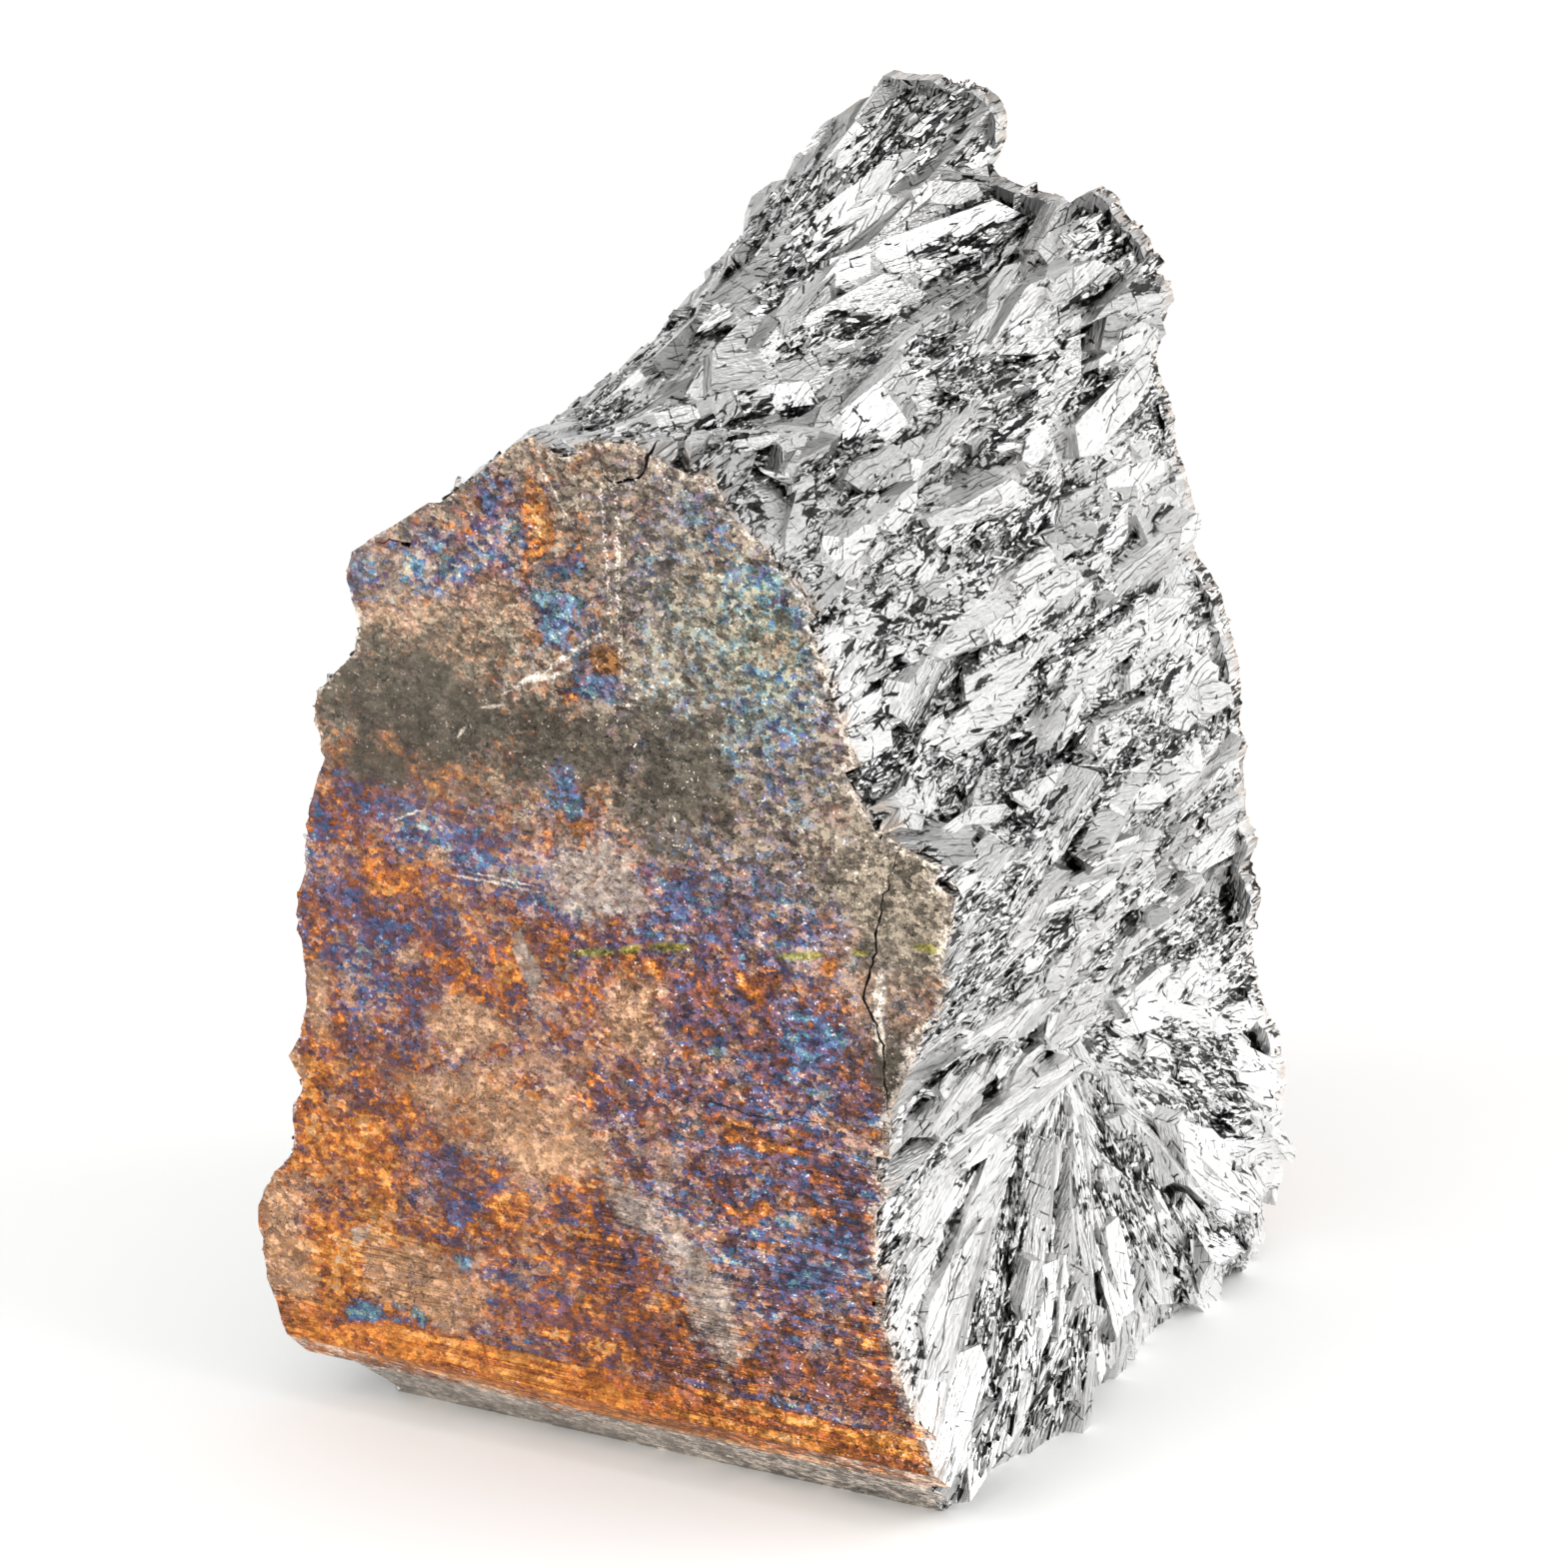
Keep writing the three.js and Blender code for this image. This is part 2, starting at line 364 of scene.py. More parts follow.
def batches(laid):
    """Splits laid crystals into lists whose members keep clear of each other."""
    centres = np.array([c.mean(axis=0) for c, f in laid])
    radii = np.array([np.linalg.norm(c - c.mean(axis=0), axis=1).max() for c, f in laid])
    groups = []
    for n in np.argsort(-radii):
        for group in groups:
            apart = np.linalg.norm(centres[group] - centres[n], axis=1)
            if (apart > radii[group] + radii[n]).all():
                group.append(n)
                break
        else:
            groups.append([n])
    return [[laid[n] for n in group] for group in groups]


def boolean(piece, tool, operation):
    """Applies one Boolean modifier and removes the tool."""
    modifier = piece.modifiers.new("cut", "BOOLEAN")
    modifier.operation = operation
    modifier.solver = "MANIFOLD"
    modifier.material_mode = "TRANSFER"
    modifier.object = tool
    only(piece)
    bpy.ops.object.modifier_apply(modifier=modifier.name)
    bpy.data.objects.remove(tool)


# %% Medium crystals
MEDIUM_GAP = 2.8 * MM

level, wall = surroundings(spots, spots, facing, 2.5 * MM)
flat = np.flatnonzero(np.sum(facing * wall, axis=1) > 0.7)
places = flat[thinned(spots[flat], MEDIUM_GAP)]
busy = busyness(spots[places])
kept = busy > scatter.random(len(places)) * 0.75 - 0.25
places, busy = places[kept], busy[kept]
amount = len(places)
near_wall = abs(spots[places, 1]) > HALF - 3 * MM
medium = lay_crystals(
    spots[places],
    unit(facing[places] + 0.5 * wall[places]),
    sizes=np.stack([
        scatter.uniform(6, 12, amount) - 4 * busy,
        scatter.uniform(1.4, 3.4, amount) - 0.9 * busy,
        scatter.uniform(1.8, 2.4, amount),
    ], axis=1) * MM,
    proud=(scatter.uniform(0.06, 0.36, amount) - 0.2 * near_wall) * MM,
    lean=np.radians(4 + 18 * busy**2),
    rng=scatter,
)
groups = batches(medium)
for group in groups:
    boolean(ingot, joined("batch", group), "UNION")
print(amount, "crystals joined in", len(groups), "batches:", len(ingot.data.polygons), "faces")

# %% [markdown]
# ## The edges that stand against the background
# Where the break meets a cast face, the skin holds the crystals together and the edge runs in soft
# lumps. The large crystals alone would leave a saw-tooth there. So along the front face's left edge
# and along the back face's edge a prism is joined to the piece, and a block with the same edge, set a
# little wider, trims the teeth. Each edge is a line of places measured on the photograph, in
# millimetres, and noise frays it. The ridge between the two is trimmed only: its line is measured
# across the view, so its block widens away from the camera.

# %% A prism from a line of places


def block(name, front_ring, back_ring, material):
    """A closed block between two rings with as many corners each."""
    amount = len(front_ring)
    sides = [[k, (k + 1) % amount, (k + 1) % amount + amount, k + amount] for k in range(amount)]
    ends = [list(range(amount))[::-1], list(range(amount, 2 * amount))]
    mesh = bpy.data.meshes.new(name)
    mesh.from_pydata(front_ring + back_ring, [], sides + ends)
    mesh.materials.append(material)
    piece = bpy.data.objects.new(name, mesh)
    bpy.context.collection.objects.link(piece)
    only(piece)
    bpy.ops.object.mode_set(mode="EDIT")
    bpy.ops.mesh.select_all(action="SELECT")
    bpy.ops.mesh.normals_make_consistent(inside=False)
    bpy.ops.object.mode_set(mode="OBJECT")
    return piece


def prism(name, outline, front, back, material):
    """A closed outline in X and Z, drawn out along Y."""
    rings = [[(x * MM, y, z * MM) for x, z in outline] for y in (front, back)]
    return block(name, *rings, material)


# %% Filling and trimming the left edge
LEFT_EDGE = [
    (-27.0, -1), (-27.2, 4.2), (-28.7, 9), (-29.6, 12), (-30.0, 15.5), (-28.5, 18.3), (-26.6, 20.2),
    (-26.5, 24), (-25.8, 26), (-26.9, 28.3), (-25.6, 30.5), (-25.1, 33), (-25.3, 35.5), (-26, 38.5),
    (-25.9, 41), (-25.2, 43.5), (-25, 47), (-24.2, 49.7), (-23.4, 52.3), (-24, 55), (-23.6, 57.7),
    (-22, 59.6), (-20.4, 61), (-20.2, 63.8), (-21.2, 66.6), (-20.5, 68.8), (-18, 70.8), (-14.5, 73.4),
    (-10, 76.4), (-8, 78.6), (-5, 80.2),
]


def fraying(line):
    """A line of places with three more between each two, all pushed about a little."""
    frayed = []
    for (x, z), (next_x, next_z) in zip(line, line[1:]):
        for share in (0, 0.25, 0.5, 0.75):
            fray = noise.noise((x + share, z * 0.9 + share * 3, 6.2)) * 0.35
            frayed.append((x + (next_x - x) * share + fray, z + (next_z - z) * share + fray * 0.5))
    return frayed


left = fraying(LEFT_EDGE)
inner = [(x + 4, z - 2 if z > 55 else z) for x, z in reversed(left)]
edge_fill = prism("edge_fill", left + inner, -HALF - 1 * MM, -HALF + 2.2 * MM, crystal)
boolean(ingot, edge_fill, "UNION")

wider = [(x - 0.12, z + 0.12) for x, z in left]
around_front = [(-60, -2)] + wider + [(-3, 120), (-60, 120)]
edge_trim = prism("edge_trim", around_front, -HALF - 2 * MM, -HALF + 6 * MM, crystal)
boolean(ingot, edge_trim, "DIFFERENCE")
print("left edge along", len(left), "places:", len(ingot.data.polygons), "faces")

# %% Filling and trimming the back edge
BACK_EDGE = [
    (-10.3, 90.4), (-9.5, 91), (-7, 91), (-5.3, 91.3), (-4, 90.6), (-1.5, 90.7), (0.3, 89.3), (0.4, 87),
    (-0.7, 84.6), (-0.7, 83.9), (2, 83.3), (4.2, 83), (6, 82.3), (7.3, 83.5), (8.6, 84.2), (9.8, 83.8),
    (11, 82), (12.7, 80.6), (13.9, 78.6), (13.2, 78), (14.5, 77.4), (15, 76), (14.2, 74.8), (13.5, 72),
    (13.4, 70.4), (14.2, 68.5), (15.1, 66.7), (15.2, 65), (16.3, 61.5), (16.8, 60), (16.7, 57.8),
    (17, 56), (18.4, 54.3), (19.3, 52.9), (20.2, 50), (20.6, 48.6), (21, 46.5), (21.1, 44), (21.6, 40.6),
    (21.3, 38.5), (21.7, 35), (22.6, 34), (22.8, 33), (22, 31), (22.8, 29.9), (23.2, 28.4), (22.5, 26),
    (22.3, 24), (22.9, 21.5), (23.6, 20), (25, 17.3), (25.6, 14.2), (25.3, 12), (25.1, 8.5), (25, 7),
    (25.6, 6), (25.7, 3), (25.4, 1), (25, -1),
]
back = fraying(BACK_EDGE)
inner = [(20, -1), (19, 20), (18, 40), (13, 56), (10, 68), (8, 77), (-3, 79), (-5, 86), (-8, 88)]
back_fill = prism("back_fill", back + inner, HALF - 2 * MM, HALF + 1 * MM, crystal)
boolean(ingot, back_fill, "UNION")

around_back = [(-10.3, 120), (-10.3, 91.5)] + [(x + 0.12, z + 0.12) for x, z in back] + [(60, -2), (60, 120)]
back_trim = prism("back_trim", around_back, HALF - 2.6 * MM, HALF + 5 * MM, crystal)
boolean(ingot, back_trim, "DIFFERENCE")
print("back edge along", len(back), "places:", len(ingot.data.polygons), "faces")

# %% Trimming the ridge
RIDGE = [
    (-25.3, 20.7), (-22.8, 22.5), (-20.9, 24.2), (-18.7, 26.1), (-17.4, 26.5), (-15, 28.3), (-12, 30.6),
    (-10, 32.5), (-9.7, 32.2), (-9, 33), (-8.4, 34.3), (-7.1, 35.9), (-5.8, 37), (-5.9, 37.7), (-4.6, 38.7),
    (-3.1, 40), (-2.9, 41.9), (-2.4, 43.2), (-0.9, 44.3), (0, 44.5), (0.7, 45.9), (1, 46.8), (2.6, 48.5),
    (4.1, 49.3), (5.5, 50.3), (7, 51.3), (7.4, 52.5),
]
sideways = Vector((math.cos(AZIMUTH), math.sin(AZIMUTH), 0))
upward = backward.cross(sideways)
around_ridge = [(-45, 20.7)] + RIDGE + [(7.4, 62), (-45, 62)]
across_view = [(sideways * x + upward * z) * MM - backward * DISTANCE for x, z in around_ridge]
near_ring, far_ring = ([camera.location + place * reach for place in across_view] for reach in (0.9, 1.1))
boolean(ingot, block("ridge_trim", near_ring, far_ring, crystal), "DIFFERENCE")
print("ridge along", len(RIDGE), "places:", len(ingot.data.polygons), "faces")

# %% [markdown]
# ## The mould's marks
# The three cast faces aren't flat glass. Bismuth wets the mould unevenly, so its skin has low swells,
# pits and fine flow lines, a tenth or two of a millimetre deep. The mould is modelled as a block, its
# front face is divided finely and pushed about by noise, and the piece is intersected with it. That
# cuts the crystals and the skin with one surface, so their shared edge is ragged, as a broken edge is.
# A Displace modifier on the finished piece would be simpler, but it would tear at that edge.

# %% The mould block
SKIN_DEPTH = 0.12 * MM  # the mean cast face lies this far inside the solid's own
mould_size = (68 * MM, 2 * (HALF - SKIN_DEPTH), 96 * MM)

bpy.ops.object.select_all(action="DESELECT")
bpy.ops.mesh.primitive_cube_add(size=1, location=(0, 0, mould_size[2] / 2), scale=mould_size)
mould = bpy.context.object
mould.name = "mould"
bpy.ops.object.transform_apply(location=True, rotation=True, scale=True)
bpy.ops.object.mode_set(mode="EDIT")
shape = bmesh.from_edit_mesh(mould.data)
for element in (*shape.verts, *shape.edges, *shape.faces):
    element.select = False
for edge in shape.edges:
    middle = (edge.verts[0].co + edge.verts[1].co) / 2
    if middle.z < 0.1 * MM and abs(middle.x) < 0.1 * MM:
        edge.select_set(True)
bmesh.update_edit_mesh(mould.data)
bpy.ops.mesh.bevel(offset=EDGE_BEVEL, offset_type="OFFSET", segments=1)
select_where(mould.data, lambda face: face.normal.y < -0.9)
bpy.ops.mesh.subdivide(number_cuts=11)
bpy.ops.mesh.subdivide(number_cuts=11)
select_where(mould.data, lambda face: face.normal.y > 0.9)
bpy.ops.mesh.subdivide(number_cuts=79)
bpy.ops.object.mode_set(mode="OBJECT")
mould.data.materials.append(skin)
print("mould block:", len(mould.data.polygons), "faces")

# %% Relief of the cast skin


def relief(x, z):
    """How far the skin stands out, in millimetres, at a place in millimetres."""
    swell = noise.noise((x / 16, z / 16, 1.7)) * 0.10
    lumps = noise.fractal((x / 3.2, z / 3.2, 8.1), 0.9, 2.1, 3) * 0.045
    grain = noise.noise((x / 0.9 + z / 2, z / 0.9, 3.3)) * 0.03
    flow = noise.noise((x / 9, z / 0.8, 5.5)) * 0.05 * max(0, 1 - z / 34)
    pit = min(0, 0.62 - abs(noise.noise((x / 2.4, z / 2.4, 20.2))) * 1.9) * 0.25
    return swell + lumps + grain + flow + pit


for vertex in mould.data.vertices:
    if abs(vertex.co.y) > mould_size[1] / 2 - 0.01 * MM and vertex.co.z > EDGE_BEVEL + 0.2 * MM:
        side = math.copysign(1, vertex.co.y)
        push = relief(vertex.co.x / MM + 40 * (side > 0), vertex.co.z / MM)
        vertex.co.y += side * min(push * MM, SKIN_DEPTH)
boolean(ingot, mould, "INTERSECT")
print("trimmed by the mould:", len(ingot.data.polygons), "faces")

# %% [markdown]
# ## Cracks
# Thin cracks cross the skin where the crystals behind it parted. Each is a narrow wedge along a line
# of places measured on the photograph, and a Boolean takes it out. A painted line would be simpler,
# but it would stay flat and grey when the light comes from the side. The walls that the wedge leaves
# take its near-black material, which is painted shade for the dark inside a crack.

# %% Cracks in the skin
# Painted shade: a near-black material for the walls of the cracks, for the dark inside them.
crack_shade = bpy.data.materials.new("crack_shade")


def crack(number, line, width, deep):
    """A wedge along a line of places on the front face, widest in its middle, in millimetres."""
    stations = []
    for (x, z), (next_x, next_z) in zip(line, line[1:]):
        pieces = max(2, int(math.hypot(next_x - x, next_z - z) / 0.45))
        for k in range(pieces):
            stations.append((x + (next_x - x) * k / pieces, z + (next_z - z) * k / pieces))
    stations.append(line[-1])
    corners = []
    amount = len(stations)
    for k, (x, z) in enumerate(stations):
        before, after = stations[max(k - 1, 0)], stations[min(k + 1, amount - 1)]
        run = Vector((after[0] - before[0], after[1] - before[1])).normalized()
        share = k / (amount - 1)
        half = width * (0.15 + 0.85 * math.sin(math.pi * share) ** 0.6)
        half *= 1 + 0.8 * noise.noise((x * 2.1, z * 2.1, number))
        sway = noise.noise((x * 0.9, z * 0.9, number + 0.5)) * 0.35
        sway += noise.noise((x * 2.7, z * 2.7, number + 0.7)) * 0.25
        x, z = x - run.y * sway, z + run.x * sway
        outside, inside = -HALF - 1 * MM, -HALF + deep * MM * (0.3 + 0.7 * math.sin(math.pi * share))
        corners.append(((x - run.y * half) * MM, outside, (z + run.x * half) * MM))
        corners.append(((x + run.y * half) * MM, outside, (z - run.x * half) * MM))
        corners.append((x * MM, inside, z * MM))
    faces = [[0, 1, 2], [3 * amount - 1, 3 * amount - 2, 3 * amount - 3]]
    for k in range(0, 3 * amount - 3, 3):
        faces += [[k, k + 3, k + 4, k + 1], [k + 1, k + 4, k + 5, k + 2], [k + 2, k + 5, k + 3, k]]
    mesh = bpy.data.meshes.new("crack")
    mesh.from_pydata(corners, [], faces)
    mesh.materials.append(crack_shade)
    wedge = bpy.data.objects.new("crack", mesh)
    bpy.context.collection.objects.link(wedge)
    only(wedge)
    bpy.ops.object.mode_set(mode="EDIT")
    bpy.ops.mesh.select_all(action="SELECT")
    bpy.ops.mesh.normals_make_consistent(inside=False)
    bpy.ops.object.mode_set(mode="OBJECT")
    return wedge


CRACKS = [
    ([(24.4, 54.5), (22.9, 50), (22.3, 46.4), (21.5, 41.7), (22.9, 38.4), (23.2, 34), (22.8, 30.3)], 0.15, 2.2),
    ([(4.6, 83), (3.9, 79.2), (2.8, 77.8), (1.2, 77.4), (-0.6, 78.7)], 0.2, 2.0),
    ([(13.6, 45.7), (16.2, 45.0), (19.1, 45.8), (22, 45.5)], 0.09, 0.8),
    ([(3, 30.8), (8, 31.3), (13, 30.9), (18, 31.6), (22.3, 31)], 0.1, 0.8),
    ([(1.5, 28.6), (6, 28.2), (11, 28.5)], 0.07, 0.6),
    ([(-19, 69.9), (-17.5, 70.2), (-16, 70)], 0.14, 1.0),
    ([(-5.2, 68.2), (-3, 68.6), (-0.8, 68)], 0.08, 0.6),
    ([(-13, 37.6), (-9.5, 36.5), (-8.4, 33.6), (-9.6, 32)], 0.06, 0.5),
    ([(-20.5, 22.5), (-19, 21), (-18.2, 19.2)], 0.07, 0.6),
    ([(-2.6, 50.2), (-1.2, 49.3), (-0.9, 47.8)], 0.09, 0.6),
]
for number, (line, width, deep) in enumerate(CRACKS):
    boolean(ingot, crack(number, line, width, deep), "DIFFERENCE")
print("cut", len(CRACKS), "cracks:", len(ingot.data.polygons), "faces")

# %% One order for the vertices and faces


def settle(mesh):
    """Sorts a mesh's vertices and faces by their places, because a Boolean's order can vary."""
    places = np.array([v.co for v in mesh.vertices])
    rank = np.lexsort(np.round(places / MM, 4).T)
    new_index = np.empty(len(rank), dtype=int)
    new_index[rank] = np.arange(len(rank))
    faces = []
    for face in mesh.polygons:
        corners = new_index[list(face.vertices)].tolist()
        start = corners.index(min(corners))
        faces.append((corners[start:] + corners[:start], face.material_index))
    faces.sort()
    mesh.clear_geometry()
    mesh.from_pydata(places[rank].tolist(), [], [corners for corners, kind in faces])
    mesh.polygons.foreach_set("material_index", [kind for corners, kind in faces])
    mesh.update()
    print("settled", len(places), "vertices and", len(faces), "faces")


settle(ingot.data)

# %% How far each place on the skin is from the break


def paint_rim(mesh):
    """Writes each vertex's distance from the skin's own border, in millimetres."""
    owners = {}
    for face in mesh.polygons:
        for key in face.edge_keys:
            owners.setdefault(key, set()).add(face.material_index)
    names = [material.name for material in mesh.materials]
    skin_index, crystal_index = names.index("cast_skin"), names.index("crystal_fracture")
    border = {v for key, kinds in owners.items() if kinds >= {skin_index, crystal_index} for v in key}
    tree = KDTree(len(border))
    for v in border:
        tree.insert(mesh.vertices[v].co, v)
    tree.balance()
    distances = [tree.find(v.co)[2] / MM for v in mesh.vertices]
    layer = mesh.attributes.new("rim", "FLOAT", "POINT")
    layer.data.foreach_set("value", distances)
    print("skin border of", len(border), "vertices")


paint_rim(ingot.data)

# %% [markdown]
# ## Where the skin's patches lie
# The oxide on a cast face has clear patches: orange pools, blue spots, tan and grey films, an olive
# band. Each is described once as a soft oval in millimetres, and the mesh's vertices learn how far
# inside they lie, from 0 to 1, with 0.5 at the oval's edge. The shader later breaks these edges up
# with fine noise. Building every oval from shader nodes would do too, but it takes a node tree several
# times as large, which is slower on each render.

# %% Soft ovals on the cast faces
FILM_SHIFTS = [
    (-21, 17, 6, 9, 10, -0.1), (-20, 38, 6, 6, 10, 0.12), (-14, 21, 5, 3, 20, 0.08),
    (15, 21, 9, 7, 0, 0.13), (13, 36, 11, 7, 8, 0.1), (12, 47, 10, 3.5, 5, 0.16),
    (-12, 47.5, 8, 1.6, -15, 0.22), (14, 67, 4, 9, 5, 0.38), (-15, 68, 6, 2.6, 15, 0.22),
    (-8, 73, 2, 4, 20, 0.14), (6, 66, 4, 9, 0, 0.3),
]
VIVID = [
    (-23, 12.3, 1.7, 3.8, 12, 0.27), (-20.5, 21.5, 3.4, 2.8, 0, 0.33), (-8.5, 19.3, 1.7, 1.3, 0, 0.30),
    (-18, 44, 2.8, 2.1, -20, 0.33), (-5.4, 73, 1.0, 4.2, -6, 0.26), (13.5, 29.2, 3.4, 0.9, 0, 0.31),
    (12.3, 23.4, 2.4, 0.8, 0, 0.33), (12.5, 41.4, 2.2, 1.0, 0, 0.33), (4, 41, 1.7, 1.1, 0, 0.33),
    (19, 43.6, 1.1, 1.3, 0, 0.31), (-2, 51.2, 1.2, 0.8, 0, 0.30), (-2.2, 61.2, 0.9, 0.7, 0, 0.33),
    (-24.2, 29.2, 0.8, 1.3, 0, 0.50), (-14.3, 22.7, 3.1, 1.5, -15, 0.54), (-22, 42.2, 2.4, 1.5, 20, 0.59),
    (-15.4, 34, 0.9, 1.2, 0, 0.60), (-2.6, 42.8, 1.5, 0.8, 0, 0.63), (-12.5, 18.7, 1.4, 1.1, 0, 0.64),
    (-23.6, 36.4, 0.9, 1.0, 0, 0.68), (-20, 40, 2.4, 0.8, 0, 0.64), (-23.7, 47.5, 1.3, 1.6, 0, 0.73),
    (-3.3, 66.4, 2.7, 2.1, -30, 0.76), (-0.7, 62, 1.6, 1.9, 0, 0.77), (-2.7, 71, 1.2, 1.6, 0, 0.75),
    (-3.1, 53.7, 1.3, 2.2, -10, 0.75), (6.4, 46.6, 1.2, 1.9, 0, 0.72), (13, 72.6, 1.4, 1.2, 0, 0.84),
    (17, 19.5, 3.6, 1.3, 0, 0.68), (18.5, 22, 2.6, 0.7, 0, 0.70), (17, 37.5, 2.6, 1.6, 0, 0.76),
    (10, 11.3, 17, 1.9, 0, 0.45), (-20.4, 8.4, 1.5, 0.8, 0, 0.84), (-17.8, 8.1, 0.7, 0.5, 0, 0.84),
    (-18.4, 9.8, 1.2, 0.4, 0, 0.84), (-15.9, 9.4, 0.8, 0.8, 0, 0.84), (-12.2, 14.8, 0.7, 0.5, 0, 0.8),
    (-9.6, 11.9, 0.7, 0.5, 0, 0.8), (8.8, 35.6, 1.3, 0.5, 0, 0.84), (12.8, 13.4, 0.8, 0.5, 0, 0.8),
]
TAN = [
    (-28, 11.5, 2.4, 6.5, 8), (-15.5, 12, 6, 2.8, 0), (-6.5, 26, 6.5, 3.4, -8), (-13, 28, 4.5, 1.8, 0),
    (-24, 33.5, 1.2, 2.7, 0), (-26.6, 28, 1, 1.4, 0), (-14.5, 63.4, 6.5, 2.4, -6), (-9, 66, 3, 3, 0),
    (-13.4, 46, 1.7, 1, 0), (-13, 9, 1.5, 1, 0), (2.5, 37, 2.6, 3, 0), (-16, 37.5, 1.5, 1, 0),
    (-11.5, 33.8, 3.3, 1.8, 4),
]
WORN = [
    (-0.3, 46.8, 4.2, 3.9, 15), (2.6, 22.3, 3.2, 1.9, -25), (6.6, 18.6, 2.4, 3.6, 30),
    (9.3, 13.8, 2.1, 4.4, 12), (-6.4, 38.8, 0.9, 3.2, 20), (-21, 15, 1.3, 1.0, 0),
]
OLIVE = [
    (-14, 57, 8, 4.2, 0), (-3.5, 57.2, 5, 2.6, 0), (5.5, 56, 4.2, 4, 10), (-18.5, 53, 3, 2.6, 0),
    (23.8, 36, 1.5, 3.2, 0),
]
STONE_SHIFTS = [
    (-15, 68, 5.5, 2.4, 12, -0.6), (-8.5, 72.5, 1.8, 4, 15, -0.6), (14, 68, 3.4, 8, 0, -0.4),
    (8.6, 73, 0.8, 2, 0, -0.6), (24.5, 47, 4, 7, 0, 0.7),
]


def inside(x, z, oval):
    """1 in an oval's middle, 0.5 at its edge and 0 from twice its size on."""
    at_x, at_z, length, height, turn = oval[:5]
    cos, sin = math.cos(math.radians(turn)), math.sin(math.radians(turn))
    right = ((x - at_x) * cos + (z - at_z) * sin) / length
    up = ((z - at_z) * cos - (x - at_x) * sin) / height
    return np.clip(1 - np.hypot(right, up) / 2, 0, 1)


def paint_ovals(mesh):
    """Writes what the ovals say about each vertex: film, covers and stone."""
    places = np.empty(len(mesh.vertices) * 3)
    mesh.vertices.foreach_get("co", places)
    places = places.reshape(-1, 3) / MM
    sway = np.array([noise.noise_vector(Vector(place) * 0.35) for place in places])
    x, z = places[:, 0] + sway[:, 0] * 1.6, places[:, 2] + sway[:, 2] * 1.6
    behind = places[:, 1] > 0
    x, z = np.where(behind, 6 - x * 1.1, x), np.where(behind, z * 0.85 + 4, z)
    vivid = np.array([inside(x, z, oval) for oval in VIVID])
    film = np.stack([
        sum(inside(x, z, oval) * oval[5] for oval in FILM_SHIFTS) * 1.5,
        vivid.max(axis=0),
        np.array([oval[5] for oval in VIVID])[vivid.argmax(axis=0)],
    ], axis=1)
    covers = np.stack([
        np.max([inside(x, z, oval) for oval in group], axis=0) for group in (TAN, WORN, OLIVE)], axis=1)
    for name, values in (("film", film), ("covers", covers)):
        layer = mesh.attributes.new(name, "FLOAT_VECTOR", "POINT")
        layer.data.foreach_set("vector", values.ravel().astype(np.float32))
    layer = mesh.attributes.new("stone", "FLOAT", "POINT")
    stone = sum(inside(x, z, oval) * oval[5] for oval in STONE_SHIFTS) * 1.5
    layer.data.foreach_set("value", stone.astype(np.float32))
    print("ovals on", len(x), "vertices")


paint_ovals(ingot.data)

# %% [markdown]
# ## Fine crystals
# Between the large plates the fracture is crushed into crystals of a millimetre and less. They lie
# where the zone is broken or where the surface lies lower than its surroundings. There are thousands,
# so they are laid with numbers from a seeded generator and joined in a few meshes. Each is a closed
# shell that stands in the piece, without a Boolean, which nobody sees and which saves minutes.

# %% Fine crystals
FINE_GAP = 0.62 * MM

samples, sample_facing, area = surface_points(ingot.data, 130000, scatter)
level, wall = surroundings(samples, samples, sample_facing, 1.6 * MM)
height = np.sum((samples - level) * wall, axis=1) / MM
order = thinned(samples, FINE_GAP)
busy = busyness(samples[order])
wanted = 0.9 * busy - 0.9 * height[order] - 0.3
order = order[wanted > scatter.random(len(order))]
busy = busyness(samples[order])
amount = len(order)
long = scatter.uniform(1.1, 3.2, amount) * (1.3 - 0.4 * busy)
wide = long * scatter.uniform(0.1, 0.3, amount)
fine = lay_crystals(
    samples[order],
    unit(sample_facing[order] + wall[order]),
    sizes=np.stack([long, wide, scatter.uniform(0.7, 1.2, amount)], axis=1) * MM,
    proud=scatter.uniform(0.02, 0.24, amount) * MM,
    lean=np.radians(6 + 22 * busy),
    rng=scatter,
)
for corners, faces in fine:
    limit = HALF - SKIN_DEPTH - scatter.uniform(0.05, 0.3) * MM
    corners[:, 2] = np.maximum(corners[:, 2], scatter.uniform(0.02, 0.2) * MM)
    walls = np.minimum(limit, limit - EDGE_BEVEL + corners[:, 2])
    corners[:, 1] = np.clip(corners[:, 1], -walls, walls)
print(amount, "fine crystals")

quarter = (samples[order, 1] > 0) * 2 + (samples[order, 2] > 45 * MM)
fine_pieces = []
for number, name in enumerate(("fine_front_low", "fine_front_high", "fine_back_low", "fine_back_high")):
    piece = joined(name, [fine[n] for n in np.flatnonzero(quarter == number)])
    fine_pieces.append(piece)
    print(name, sum(len(p.vertices) - 2 for p in piece.data.polygons), "triangles")

# %% [markdown]
# ## What the shaders need to know about each face
# A procedural material can't see where one crystal ends, so the mesh tells it. Each flat face gets a
# seeded random tone, two grain coordinates in millimetres (along and across its growth) and a depth:
# how far it lies below its surroundings. Faces in one plane get one tone and one set of coordinates,
# so a step line runs on over the edges that the Booleans left inside a crystal's face.

# %% Attributes on the faces


def plane_key(normal, centre):
    """The same whole numbers for all faces that lie in one plane."""
    offset = normal @ centre / MM
    return tuple(int(v) for v in np.floor(np.array((*(normal * 40), offset * 5)) + 0.37))


